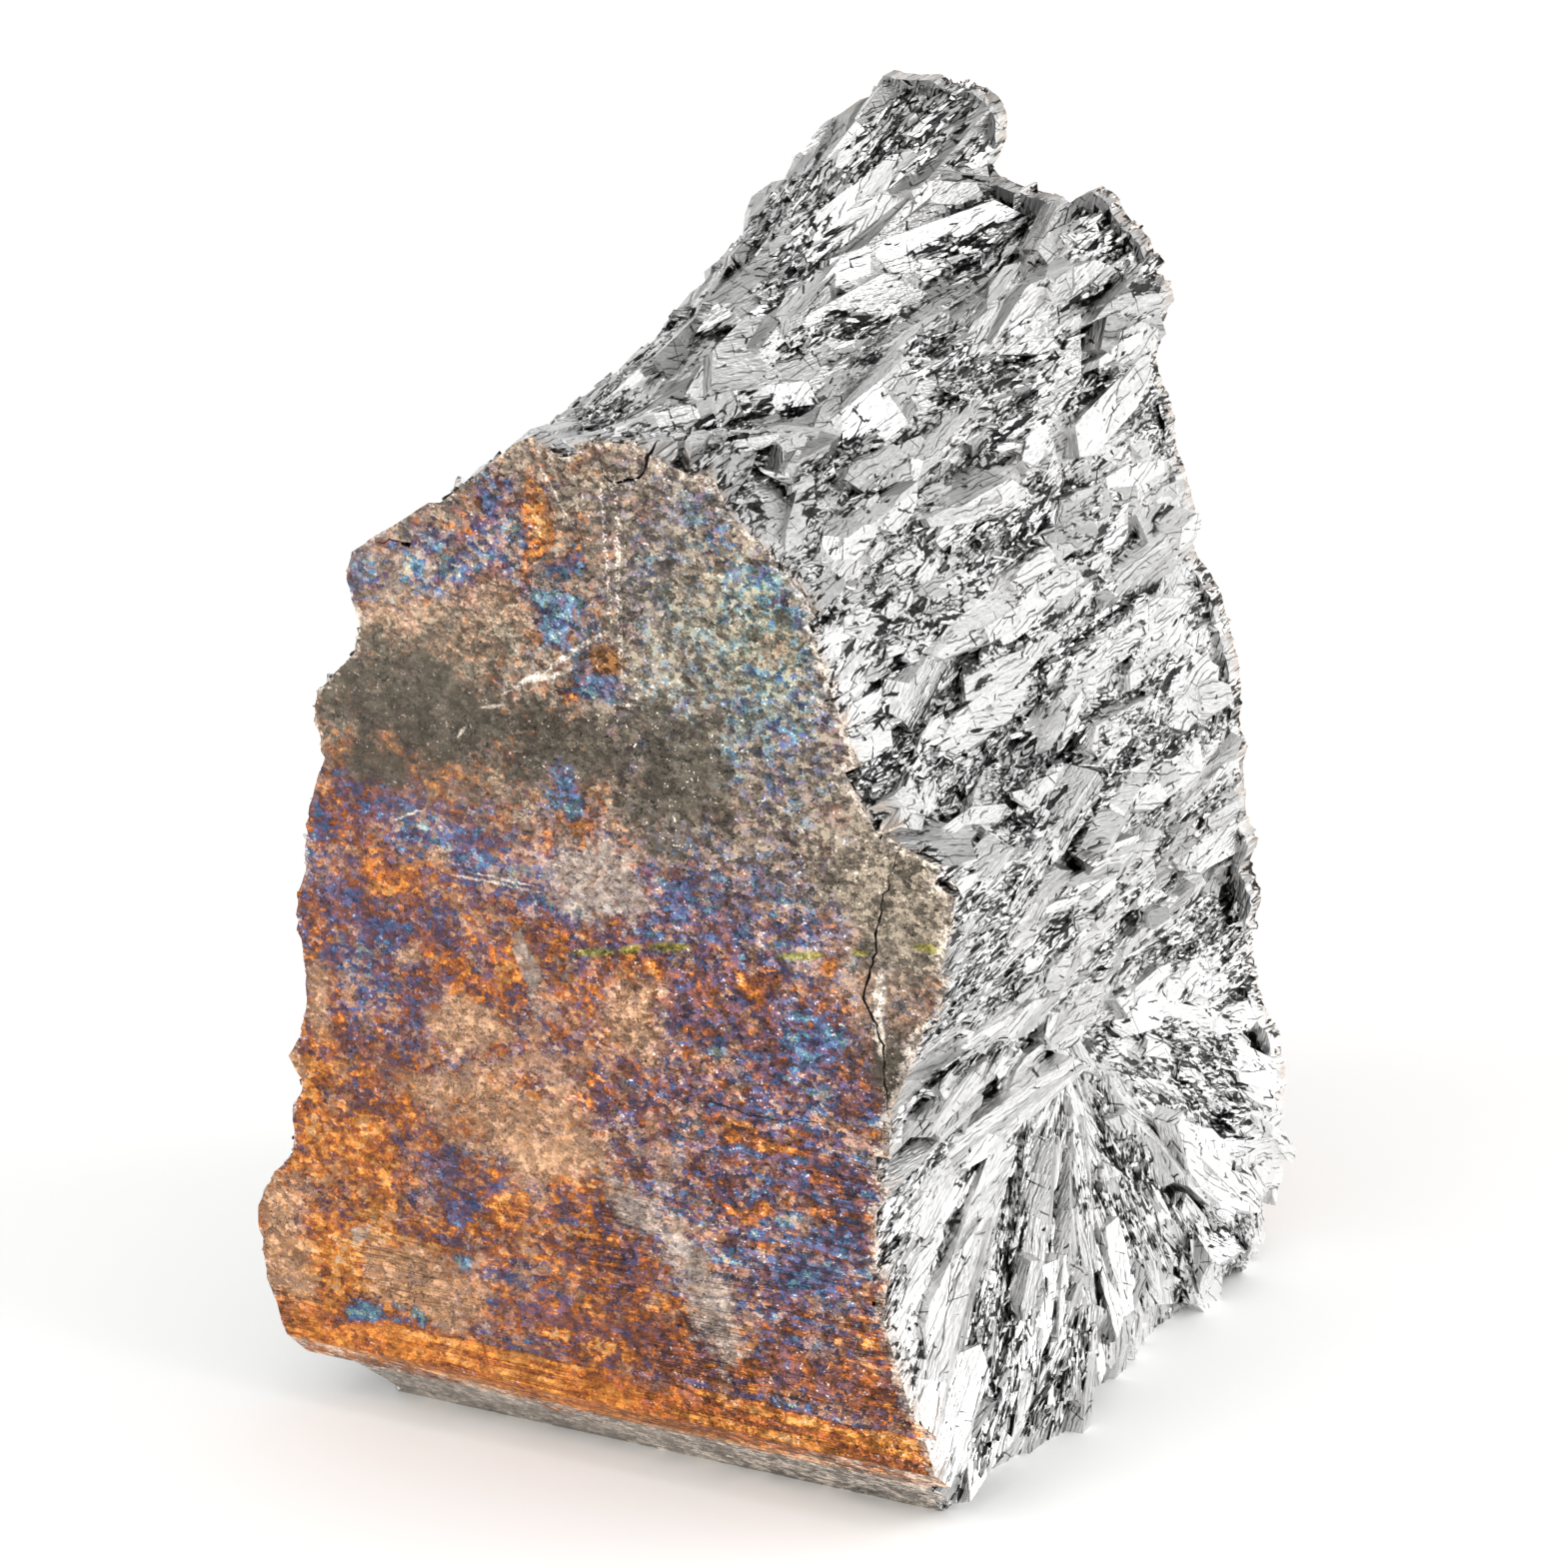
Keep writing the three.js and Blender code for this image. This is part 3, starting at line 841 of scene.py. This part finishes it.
def paint_faces(piece, samples, sample_facing):
    """Writes the grain coordinates, the tones and the depth on a mesh's corners."""
    mesh = piece.data
    count = len(mesh.polygons)
    normals = np.empty(count * 3)
    centres = np.empty(count * 3)
    totals = np.empty(count, dtype=int)
    mesh.polygons.foreach_get("normal", normals)
    mesh.polygons.foreach_get("center", centres)
    mesh.polygons.foreach_get("loop_total", totals)
    normals, centres = normals.reshape(-1, 3), centres.reshape(-1, 3)
    places = np.empty(len(mesh.vertices) * 3)
    mesh.vertices.foreach_get("co", places)
    places = places.reshape(-1, 3)
    corner_vertex = np.empty(len(mesh.loops), dtype=int)
    mesh.loops.foreach_get("vertex_index", corner_vertex)

    tones = {}
    seeds = np.array([
        tones.setdefault(plane_key(n, c), (len(tones) * 0.7548777 % 1, len(tones) * 0.5698403 % 1))
        for n, c in zip(normals, centres)
    ])
    angle = (seeds[:, :1] - 0.5) * 0.5
    growth = growth_at(centres)
    beside = unit(np.cross(normals, growth))
    ahead = np.cross(beside, normals)
    ahead, beside = (
        ahead * np.cos(angle) + beside * np.sin(angle), beside * np.cos(angle) - ahead * np.sin(angle))
    per_corner = np.repeat(np.arange(count), totals)
    at = places[corner_vertex] / MM
    along = np.sum(at * ahead[per_corner], axis=1) + seeds[per_corner, 0] * 90
    across = np.sum(at * beside[per_corner], axis=1) + seeds[per_corner, 1] * 90
    level, wall = surroundings(places, samples, sample_facing, 1.3 * MM)
    depth = np.sum((level - places) * wall, axis=1) / MM
    busy = busyness(places)
    grain = np.stack([along, across, depth[corner_vertex]], axis=1)
    tone = np.stack([seeds[per_corner, 0], seeds[per_corner, 1], busy[corner_vertex]], axis=1)
    for name, values in (("grain", grain), ("tone", tone)):
        layer = mesh.attributes.new(name, "FLOAT_VECTOR", "CORNER")
        layer.data.foreach_set("vector", values.ravel().astype(np.float32))
    print(piece.name, "has", count, "faces in", len(tones), "planes")


samples, sample_facing, area = surface_points(ingot.data, 130000, scatter)
for piece in (ingot, *fine_pieces):
    paint_faces(piece, samples, sample_facing)

# %% [markdown]
# ## Shader maths in Python
# A material is a graph of sockets. This small class wraps one socket and overloads the arithmetic
# operators, so a mask such as `(height - 0.3) * 4` adds its Math nodes by itself. The masks read like
# formulas, and they can be changed like formulas.

# %% A wire in a material


class Wire:
    """One socket of a material that takes part in plain arithmetic."""

    def __init__(self, tree, socket=None):
        self.tree = tree
        self.socket = socket

    def node(self, kind, settings=None, inputs=None, output=0, stops=None):
        """Adds a node, sets it up, links or sets its inputs and gives one output, or several."""
        made = self.tree.nodes.new("ShaderNode" + kind)
        for name, value in (settings or {}).items():
            setattr(made, name, value)
        if stops:
            while len(made.color_ramp.elements) < len(stops):
                made.color_ramp.elements.new(0.5)
            for element, (place, colour) in zip(made.color_ramp.elements, stops):
                element.position = place
                element.color = (*colour, 1)
        for name, value in (inputs or {}).items():
            if isinstance(value, Wire):
                self.tree.links.new(value.socket, made.inputs[name])
            else:
                made.inputs[name].default_value = value
        if isinstance(output, tuple):
            return [Wire(self.tree, made.outputs[k]) for k in output]
        return Wire(self.tree, made.outputs[output])

    def math(self, operation, *values, clamp=False):
        """A Math node on plain numbers and wires."""
        settings = {"operation": operation, "use_clamp": clamp}
        return self.node("Math", settings, dict(enumerate(values)))

    def __add__(self, other):
        return self.math("ADD", self, other)

    def __radd__(self, other):
        return self.math("ADD", other, self)

    def __sub__(self, other):
        return self.math("SUBTRACT", self, other)

    def __rsub__(self, other):
        return self.math("SUBTRACT", other, self)

    def __mul__(self, other):
        return self.math("MULTIPLY", self, other)

    def __rmul__(self, other):
        return self.math("MULTIPLY", other, self)

    def __truediv__(self, other):
        return self.math("DIVIDE", self, other)

    def __rtruediv__(self, other):
        return self.math("DIVIDE", other, self)

    def __pow__(self, other):
        return self.math("POWER", self, other)

    def ramp(self, start, end):
        """Rises from 0 at start to 1 at end, softly."""
        settings = {"interpolation_type": "SMOOTHSTEP"}
        return self.node("MapRange", settings, {"Value": self, "From Min": start, "From Max": end})

    def parts(self):
        """The X, Y and Z of a vector."""
        made = self.tree.nodes.new("ShaderNodeSeparateXYZ")
        self.tree.links.new(self.socket, made.inputs[0])
        return [Wire(self.tree, out) for out in made.outputs]

    def vector(self, x, y, z):
        """A vector from three numbers or wires."""
        return self.node("CombineXYZ", inputs={"X": x, "Y": y, "Z": z})

    def noise(self, place, scale=1, detail=2, roughness=0.5):
        """Noise between 0 and 1 at a place."""
        values = {"Vector": place, "Scale": scale, "Detail": detail, "Roughness": roughness}
        return self.node("TexNoise", inputs=values)

    def clamped(self):
        """The same value, kept between 0 and 1."""
        return self.math("ADD", self, 0, clamp=True)

    def mix(self, factor, first, second):
        """A colour between two."""
        return self.node("Mix", {"data_type": "RGBA"}, {0: factor, 6: first, 7: second}, output=2)


def fresh(material):
    """A wire into a material's tree, and its surface shader."""
    material.use_nodes = True
    tree = material.node_tree
    return Wire(tree), tree.nodes["Principled BSDF"]


def plug(wire, surface, name):
    """Links a wire to one input of a surface shader."""
    wire.tree.links.new(wire.socket, surface.inputs[name])


# %% [markdown]
# ## The fracture's material
# Fresh bismuth is a bright, faintly warm metal. Its cleaved faces carry steps far finer than any mesh:
# here they are the cells of a Voronoi texture in one dimension, laid across the growth, as bump and as
# thin dark lines. In broken zones a second bump tips long chips of the surface at random, which gives
# the glitter of crushed grains. The depth darkens the clefts with painted shade, where real ones
# swallow the light. Some bands of height and the low back are painted lighter or darker, as painted
# light for how their crystals mirror the lamps, and each chip gets a painted highlight along its edge.

# %% Terraces and cracks on the plates
wire, surface = fresh(crystal)
along, across, depth = wire.node("Attribute", {"attribute_name": "grain"}, output=1).parts()
tone_a, tone_b, zone = wire.node("Attribute", {"attribute_name": "tone"}, output=1).parts()


def plane_noise(x, y, scale=1.0, detail=2):
    """Noise in two dimensions, from 0 to 1."""
    values = {"Vector": wire.vector(x, y, 0), "Scale": scale, "Detail": detail}
    return wire.node("TexNoise", {"noise_dimensions": "2D"}, values)


def edges(place, spacing, width):
    """Thin lines of one width at irregular distances along a coordinate, in millimetres."""
    settings = {"voronoi_dimensions": "1D", "feature": "DISTANCE_TO_EDGE"}
    gap = wire.node("TexVoronoi", settings, {"W": place, "Scale": 1 / spacing}) * spacing
    return gap.ramp(width, width * 0.45)


sway = plane_noise(along * 0.3, across * 0.6) - 0.5
jag = plane_noise(along + 31, across + 17, scale=1.3) - 0.5
ledge = across + sway * 1.0 + along * (tone_b - 0.5) * 0.3
ledge_lines = edges(ledge, 0.6, 0.08) * plane_noise(along * 0.16 + 5, across * 1.3, 0.9).ramp(0.5, 0.54)
slant_place = along + across * (tone_a - 0.4) * 1.6 + jag * 0.18
slant_lines = edges(slant_place, 1.7, 0.08) * plane_noise(along * 0.7 + 50, across * 0.35, 0.8).ramp(0.59, 0.63)
terrace = wire.node("TexVoronoi", {"voronoi_dimensions": "1D"}, {"W": ledge, "Scale": 1 / 0.7}, output=(1, 3))
terrace_tone = terrace[0].parts()[0]
terrace_rise = (ledge - terrace[1]) * (terrace_tone - 0.5)

# %% Grains and crushed chips
grain_place = wire.vector(along * 0.22 + jag * 0.1, across * 0.7 + jag * 0.15, 0)
grain_inputs = {"Vector": grain_place, "Scale": 0.9}
flat_edge = {"voronoi_dimensions": "2D", "feature": "DISTANCE_TO_EDGE"}
flat_cell = {"voronoi_dimensions": "2D"}
grain_gap = wire.node("TexVoronoi", flat_edge, grain_inputs)
grain_tone = wire.node("TexVoronoi", flat_cell, grain_inputs, output=1).parts()[0]
grain_lines = grain_gap.ramp(0.04, 0.015) * plane_noise(along * 0.6 + 9, across, 0.7).ramp(0.57, 0.6)

broken = zone + depth * 0.8 + (plane_noise(along * 0.22, across * 1.1 + 70, 0.9) - 0.5) * 1.8
crushed = broken.ramp(0.53, 0.63)
chip_place = wire.vector(along * 0.25 + jag * 0.2, across * 1.4 + sway * 0.8 + jag * 0.3, 0)
chip_inputs = {"Vector": chip_place, "Scale": 2.0}
chip_gap = wire.node("TexVoronoi", flat_edge, chip_inputs)
chip_colour, chip_centre = wire.node("TexVoronoi", flat_cell, chip_inputs, output=(1, 2))
chip_tone = chip_colour.parts()[0]
chip_lines = chip_gap.ramp(0.2, 0.09) * plane_noise(along * 0.5 + 12, across * 1.8, 1.2).ramp(0.42, 0.5)
apart = wire.node("VectorMath", {"operation": "SUBTRACT"}, {0: chip_place, 1: chip_centre})
tilt = wire.node("VectorMath", {"operation": "SUBTRACT"}, {0: chip_colour, 1: (0.5, 0.5, 0.5)})
tipped = wire.node("VectorMath", {"operation": "DOT_PRODUCT"}, {0: apart, 1: tilt}, output=1)

# %% Fracture material
scuff = plane_noise(along * 0.5, across * 2.2, 2.4) - 0.5
height = terrace_rise * 0.34 + tipped * (0.14 + crushed * 1.3) - grain_lines * 0.06 + scuff * 0.1
bump = wire.node("Bump", inputs={"Height": height, "Distance": 0.9 * MM, "Strength": 1.0})
plug(bump, surface, "Normal")

lines = (ledge_lines * 0.75 + slant_lines * 0.85 + grain_lines + chip_lines * crushed).clamped()
# Painted shade: the clefts, where a face lies deep below its surroundings, are darkened.
painted_hollow_shade = (depth + jag * 1.2).ramp(0.42, 0.6)
dark_chips = chip_tone.ramp(0.25, 0.19) * crushed
# Painted highlight: a bright rim along each chip's edge, where a ridge would catch the light.
painted_chip_highlight = chip_gap.ramp(0.4, 0.2) * 0.25
place_x, place_y, place_z = wire.node("TexCoord", output=3).parts()
shade = 0.57 + tone_a * 0.2 + grain_tone * 0.08 + terrace_tone * 0.2 - tone_b.ramp(0.78, 0.82) * 0.28
# Painted light: bands of height are made lighter or darker, and the low back lighter, for how the crystals there
# mirror the lamps.
shade = shade + place_z.ramp(70 * MM, 60 * MM) * 0.1 - place_z.ramp(52 * MM, 44 * MM) * 0.07
shade = shade - place_z.ramp(66 * MM, 78 * MM) * 0.09
shade = shade + place_y.ramp(0, 10 * MM) * place_z.ramp(34 * MM, 22 * MM) * 0.24
shade = shade * (1 + crushed * ((chip_tone - 0.45) * 0.8 + painted_chip_highlight) + scuff * 0.6)
shade = shade * (1 - lines * 0.96) * (1 - painted_hollow_shade * 0.93) * (1 - dark_chips * 0.95)
# Painted shade: the deeper a face lies below its surroundings, the darker it is painted.
shade = shade * (1 - (depth + 0.1).ramp(0, 1.2) * 0.32)
metal = wire.node("CombineColor", inputs={"Red": shade, "Green": shade * 0.995, "Blue": shade * 0.99})
inward = HALF / MM - place_y.math("ABSOLUTE", place_y) / MM
rind = (inward + (plane_noise(along * 0.6, across + 40, 0.9) - 0.5) * 3.5).ramp(1.6, 0.4)
tanned = wire.node("CombineColor", inputs={"Red": shade * 0.86, "Green": shade * 0.68, "Blue": shade * 0.55})
plug(wire.mix(rind * 0.5, metal, tanned), surface, "Base Color")
surface.inputs["Metallic"].default_value = 1
plug(0.24 + tone_b * 0.12 + crushed * 0.06, surface, "Roughness")
print("fracture material with", len(wire.tree.nodes), "nodes")

# %% [markdown]
# ## The cast skin's material
# The colours of the skin are those of an oxide film: a thin film is gold, then orange, maroon, violet,
# blue and teal as it thickens. So the shader works out one number, the film's thickness, and one ramp
# turns that number into colour. Noise of a few millimetres lets neighbouring colours follow each other
# as they do on the metal, and the ovals set the thickness where the piece has a clear patch. Painting
# each colour by itself would never mix as finely as the thickness does. Dull films, scratches and a
# crumbled rim are laid over it, and the finest grain changes only how light each place is.

# %% Noise at several sizes
wire, surface = fresh(skin)
place = wire.node("VectorMath", {"operation": "SCALE"}, {0: wire.node("TexCoord", output=3), "Scale": 1 / MM})
x, y, z = place.parts()


def noises(place, scale, detail=2, roughness=0.5):
    """Three noises of one size, each from -0.5 to 0.5."""
    values = {"Vector": place, "Scale": scale, "Detail": detail, "Roughness": roughness}
    return [part - 0.5 for part in wire.node("TexNoise", inputs=values, output=1).parts()]


drift_x, drift_z, clouds = noises(place, 0.17, detail=1)
bloom, dust, lumps = noises(place, 0.55, detail=3, roughness=0.85)
turned = wire.node("Mapping", None, {"Vector": place, "Rotation": (0, math.radians(38), 0), "Scale": (0.7, 1, 1)})
grit, fleck, pore = noises(turned, 2.4, detail=2, roughness=0.8)
grain = wire.noise(place, scale=6, detail=0) - 0.5
flow = wire.noise(wire.vector(x * 0.08, y * 0.08, z * 1.3 + drift_z), roughness=0.65) - 0.5
turned_x, turned_y, turned_z = turned.parts()
flake_place = wire.vector(turned_x + grit * 0.7, turned_y, turned_z + pore * 0.7)
flakes = wire.node("TexVoronoi", inputs={"Vector": flake_place, "Scale": 2.4}, output=1).parts()
flake_film, flake_light, flake_dust = [part - 0.5 for part in flakes]
low_half = (z + drift_z * 10 - x * 0.45).ramp(33, 20)
high_half = (z + drift_z * 8 + x * 0.12).ramp(46, 55)
right_half = (x + z * 0.25 + drift_x * 12).ramp(0, 16)

# %% Film thickness
shift, vivid, aim = wire.node("Attribute", {"attribute_name": "film"}, output=1).parts()
mottle = bloom * 0.95 + fleck * 0.35 + flake_film * 0.26
film = 0.46 + clouds * 0.25 + mottle + flow * low_half * 0.7 + shift
strip = (z + flow * 2.5 + (x + 28) * 0.02).ramp(10.0, 7.8)
film = film + (0.31 + mottle * 0.35 + flow * 0.6 - film) * strip
spot = (vivid + bloom * 0.8 + fleck * 0.6 + flake_dust * 0.3).ramp(0.34, 0.7)
film = film + (aim + mottle * 0.8 + flow * 0.2 - film) * spot
film_colour = film.node("ValToRGB", None, {0: film}, stops=[
    (0.0, (0.58, 0.40, 0.27)),
    (0.14, (0.64, 0.36, 0.16)),
    (0.25, (0.70, 0.26, 0.045)),
    (0.34, (0.42, 0.115, 0.025)),
    (0.44, (0.235, 0.088, 0.055)),
    (0.54, (0.175, 0.08, 0.095)),
    (0.65, (0.115, 0.088, 0.17)),
    (0.76, (0.075, 0.13, 0.27)),
    (0.86, (0.12, 0.26, 0.33)),
    (0.94, (0.24, 0.33, 0.29)),
    (1.0, (0.34, 0.32, 0.24)),
])

# %% Dull films over it
tan_brown = (0.56, 0.33, 0.19, 1)
grey = (0.46, 0.38, 0.32, 1)
stone = (0.285, 0.235, 0.178, 1)
olive = (0.105, 0.089, 0.067, 1)
tan_place, worn_place, olive_place = wire.node("Attribute", {"attribute_name": "covers"}, output=1).parts()
stone_shift = wire.node("Attribute", {"attribute_name": "stone"}, output=2)
kept = 1 - spot * 0.9
tanned = (tan_place + bloom * 0.8 + fleck * 0.8).ramp(0.34, 0.72)
dusty = (dust * 1.6 + clouds * 1.2 + pore * 0.9 + flake_dust * 0.5).ramp(-0.02, 0.26)
cover = (tanned * 0.8 + dusty * 0.62) * (1 - strip * 0.85) * kept
paint = wire.mix((cover + grit * tanned * 0.5).clamped() * 0.93, film_colour, tan_brown)
stony = high_half * (0.76 + dust * 1.8 + pore * 1.4 + flake_dust * 0.6)
paint = wire.mix(((stony + stone_shift) * kept).clamped(), paint, stone)
band = (olive_place + dust * 0.9 + pore * 0.8 + clouds * 0.9).ramp(0.18, 0.66) * 0.95
paint = wire.mix((band * kept).clamped(), paint, olive)
worn = (worn_place + dust * 0.8 + fleck * 0.8).ramp(0.38, 0.68) * (0.75 + grit * 1.4)
paint = wire.mix(worn.clamped(), paint, grey)

# %% Lines, scratches and spots
ruled = flow.math("ABSOLUTE", flow + fleck * 0.08).ramp(0.04, 0.006)
ruled = ruled * low_half * (drift_x + lumps * 0.8 + right_half * 0.12).ramp(-0.02, 0.1)
line_place = wire.vector(x + fleck * 0.5, z + pore * 0.5, (y + HALF / MM) * 0.05)


def stroke(start, end, width):
    """A thin tapered line from one place to another."""
    dx, dz = end[0] - start[0], end[1] - start[1]
    inputs = {
        "Vector": line_place,
        "Location": ((start[0] + end[0]) / 2, (start[1] + end[1]) / 2, 0),
        "Rotation": (0, 0, math.atan2(dz, dx)),
        "Scale": (math.hypot(dx, dz) / 2, width, 1),
    }
    oval = wire.node("Mapping", {"vector_type": "TEXTURE"}, inputs)
    return wire.node("VectorMath", {"operation": "LENGTH"}, {0: oval}, output=1).ramp(1.3, 0.7)


def strokes(lines):
    """Several thin lines in one mask."""
    total = stroke(*lines[0])
    for line in lines[1:]:
        total = total + stroke(*line)
    return total


dashes = strokes([
    ((-2.6, 40.9), (1, 41.6), 0.34), ((1.4, 41.7), (3.2, 42.3), 0.34), ((3.8, 42.5), (7.2, 43.1), 0.34),
    ((14.2, 43.6), (18.2, 44.5), 0.34), ((20.4, 45.1), (21.8, 45.3), 0.34), ((25.3, 46.4), (28.2, 46.6), 0.34),
])
paint = wire.mix(dashes.clamped() * 0.8, paint, (0.27, 0.24, 0.04, 1))
paint = wire.mix(stroke((-1, 63.9), (2, 63.9), 1.1) * 0.9, paint, (0.24, 0.10, 0.025, 1))
bright = strokes([
    ((-7.8, 60.2), (-2, 64.2), 0.2), ((-6.6, 61.2), (-3, 62.4), 0.24), ((-3.4, 63.5), (0.6, 66.2), 0.16),
    ((-10, 58.6), (-8, 59.2), 0.12), ((-12.5, 45.2), (-5, 45.1), 0.1), ((-11.5, 45.7), (-5.8, 45.5), 0.09),
    ((-4.8, 77.6), (-2.2, 73.6), 0.1), ((1, 60.6), (3, 61), 0.1), ((22.9, 44.5), (22.5, 40), 0.5),
    ((22.4, 41), (22.9, 37.5), 0.4), ((-17.5, 48.6), (-14.8, 50), 0.09), ((-12, 56), (-11.2, 57), 0.14),
])
dotted = (grain + pore * 0.6).ramp(-0.1, 0.1)
bright = bright + strokes([((1.2, 78), (1.7, 63.2), 0.2), ((0.1, 77.4), (0.9, 66), 0.16)]) * dotted
bright = bright * (0.8 + grit * 1.2)
rim = wire.node("Attribute", {"attribute_name": "rim"}, output=2)
crumbs = (rim + dust * 3.0 + pore * 2.4 - (x - 6) * 0.012).ramp(0.5, 0.1) * 0.6
# Light chips in the oxide, which also stand in for glints as painted highlights.
chips_and_glints = (fleck + grain * 0.5 + lumps * 0.35).ramp(0.2, 0.27) * (0.35 + right_half * 0.5)
paint = wire.mix((bright + chips_and_glints + crumbs).clamped(), paint, (0.76, 0.65, 0.55, 1))
sharp = (0.8 + right_half * 0.6 + high_half * 0.25) * (1 - (worn.clamped() + band).clamped() * 0.42)
value = wire.math("POWER", 2, (grit * 2.6 + grain * 1.3 + lumps * 3.8 + flake_light * 1.4) * sharp + clouds - 0.08)
pits = (pore + grain * 0.6 - lumps * 0.3).ramp(0.17, 0.25) * (0.5 + right_half * 0.35)
seams = lumps.math("ABSOLUTE", lumps + fleck * 0.25).ramp(0.022, 0.006) * (bloom + drift_z * 0.4).ramp(-0.06, 0.08)
value = value.math("MINIMUM", value, 1.9) * (1 - ruled * 0.5) * (1 - pits) * (1 - seams * 0.6)

# %% Base, chamfer and final colour
chamfer = (z + flow * 1.2).ramp(3.7, 3.2)
edge_grey = wire.mix((0.5 + grit * 1.6 + dust).clamped(), (0.62, 0.56, 0.50, 1), (0.42, 0.37, 0.32, 1))
orange_spot = stroke((-7, 3.4), (-4, 3.4), 0.9)
paint = wire.mix(chamfer * (1 - orange_spot), paint, edge_grey)
shaded = wire.node("VectorMath", {"operation": "SCALE"}, {0: paint, "Scale": value})
plug(shaded, surface, "Base Color")
surface.inputs["Metallic"].default_value = 0.45
surface.inputs["Specular IOR Level"].default_value = 0.25
plug(0.44 + grit * 0.3 + fleck * 0.2, surface, "Roughness")
height = grit * 0.16 + grain * 0.05 + flow * 0.06 - ruled * 0.05 - seams * 0.04
bump = wire.node("Bump", inputs={"Height": height, "Distance": 1.0 * MM, "Strength": 0.9})
plug(bump, surface, "Normal")
print("skin material with", len(wire.tree.nodes), "nodes")

# %% The clefts' material
wire, surface = fresh(crack_shade)
# Painted shade: near black, for the dark inside a narrow crack.
surface.inputs["Base Color"].default_value = (0.03, 0.025, 0.022, 1)
surface.inputs["Roughness"].default_value = 0.8

# %% Riding on the root body, and the imported solid hidden
for piece in (ingot, *fine_pieces):
    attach(piece, "root")
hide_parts("ingot_piece")
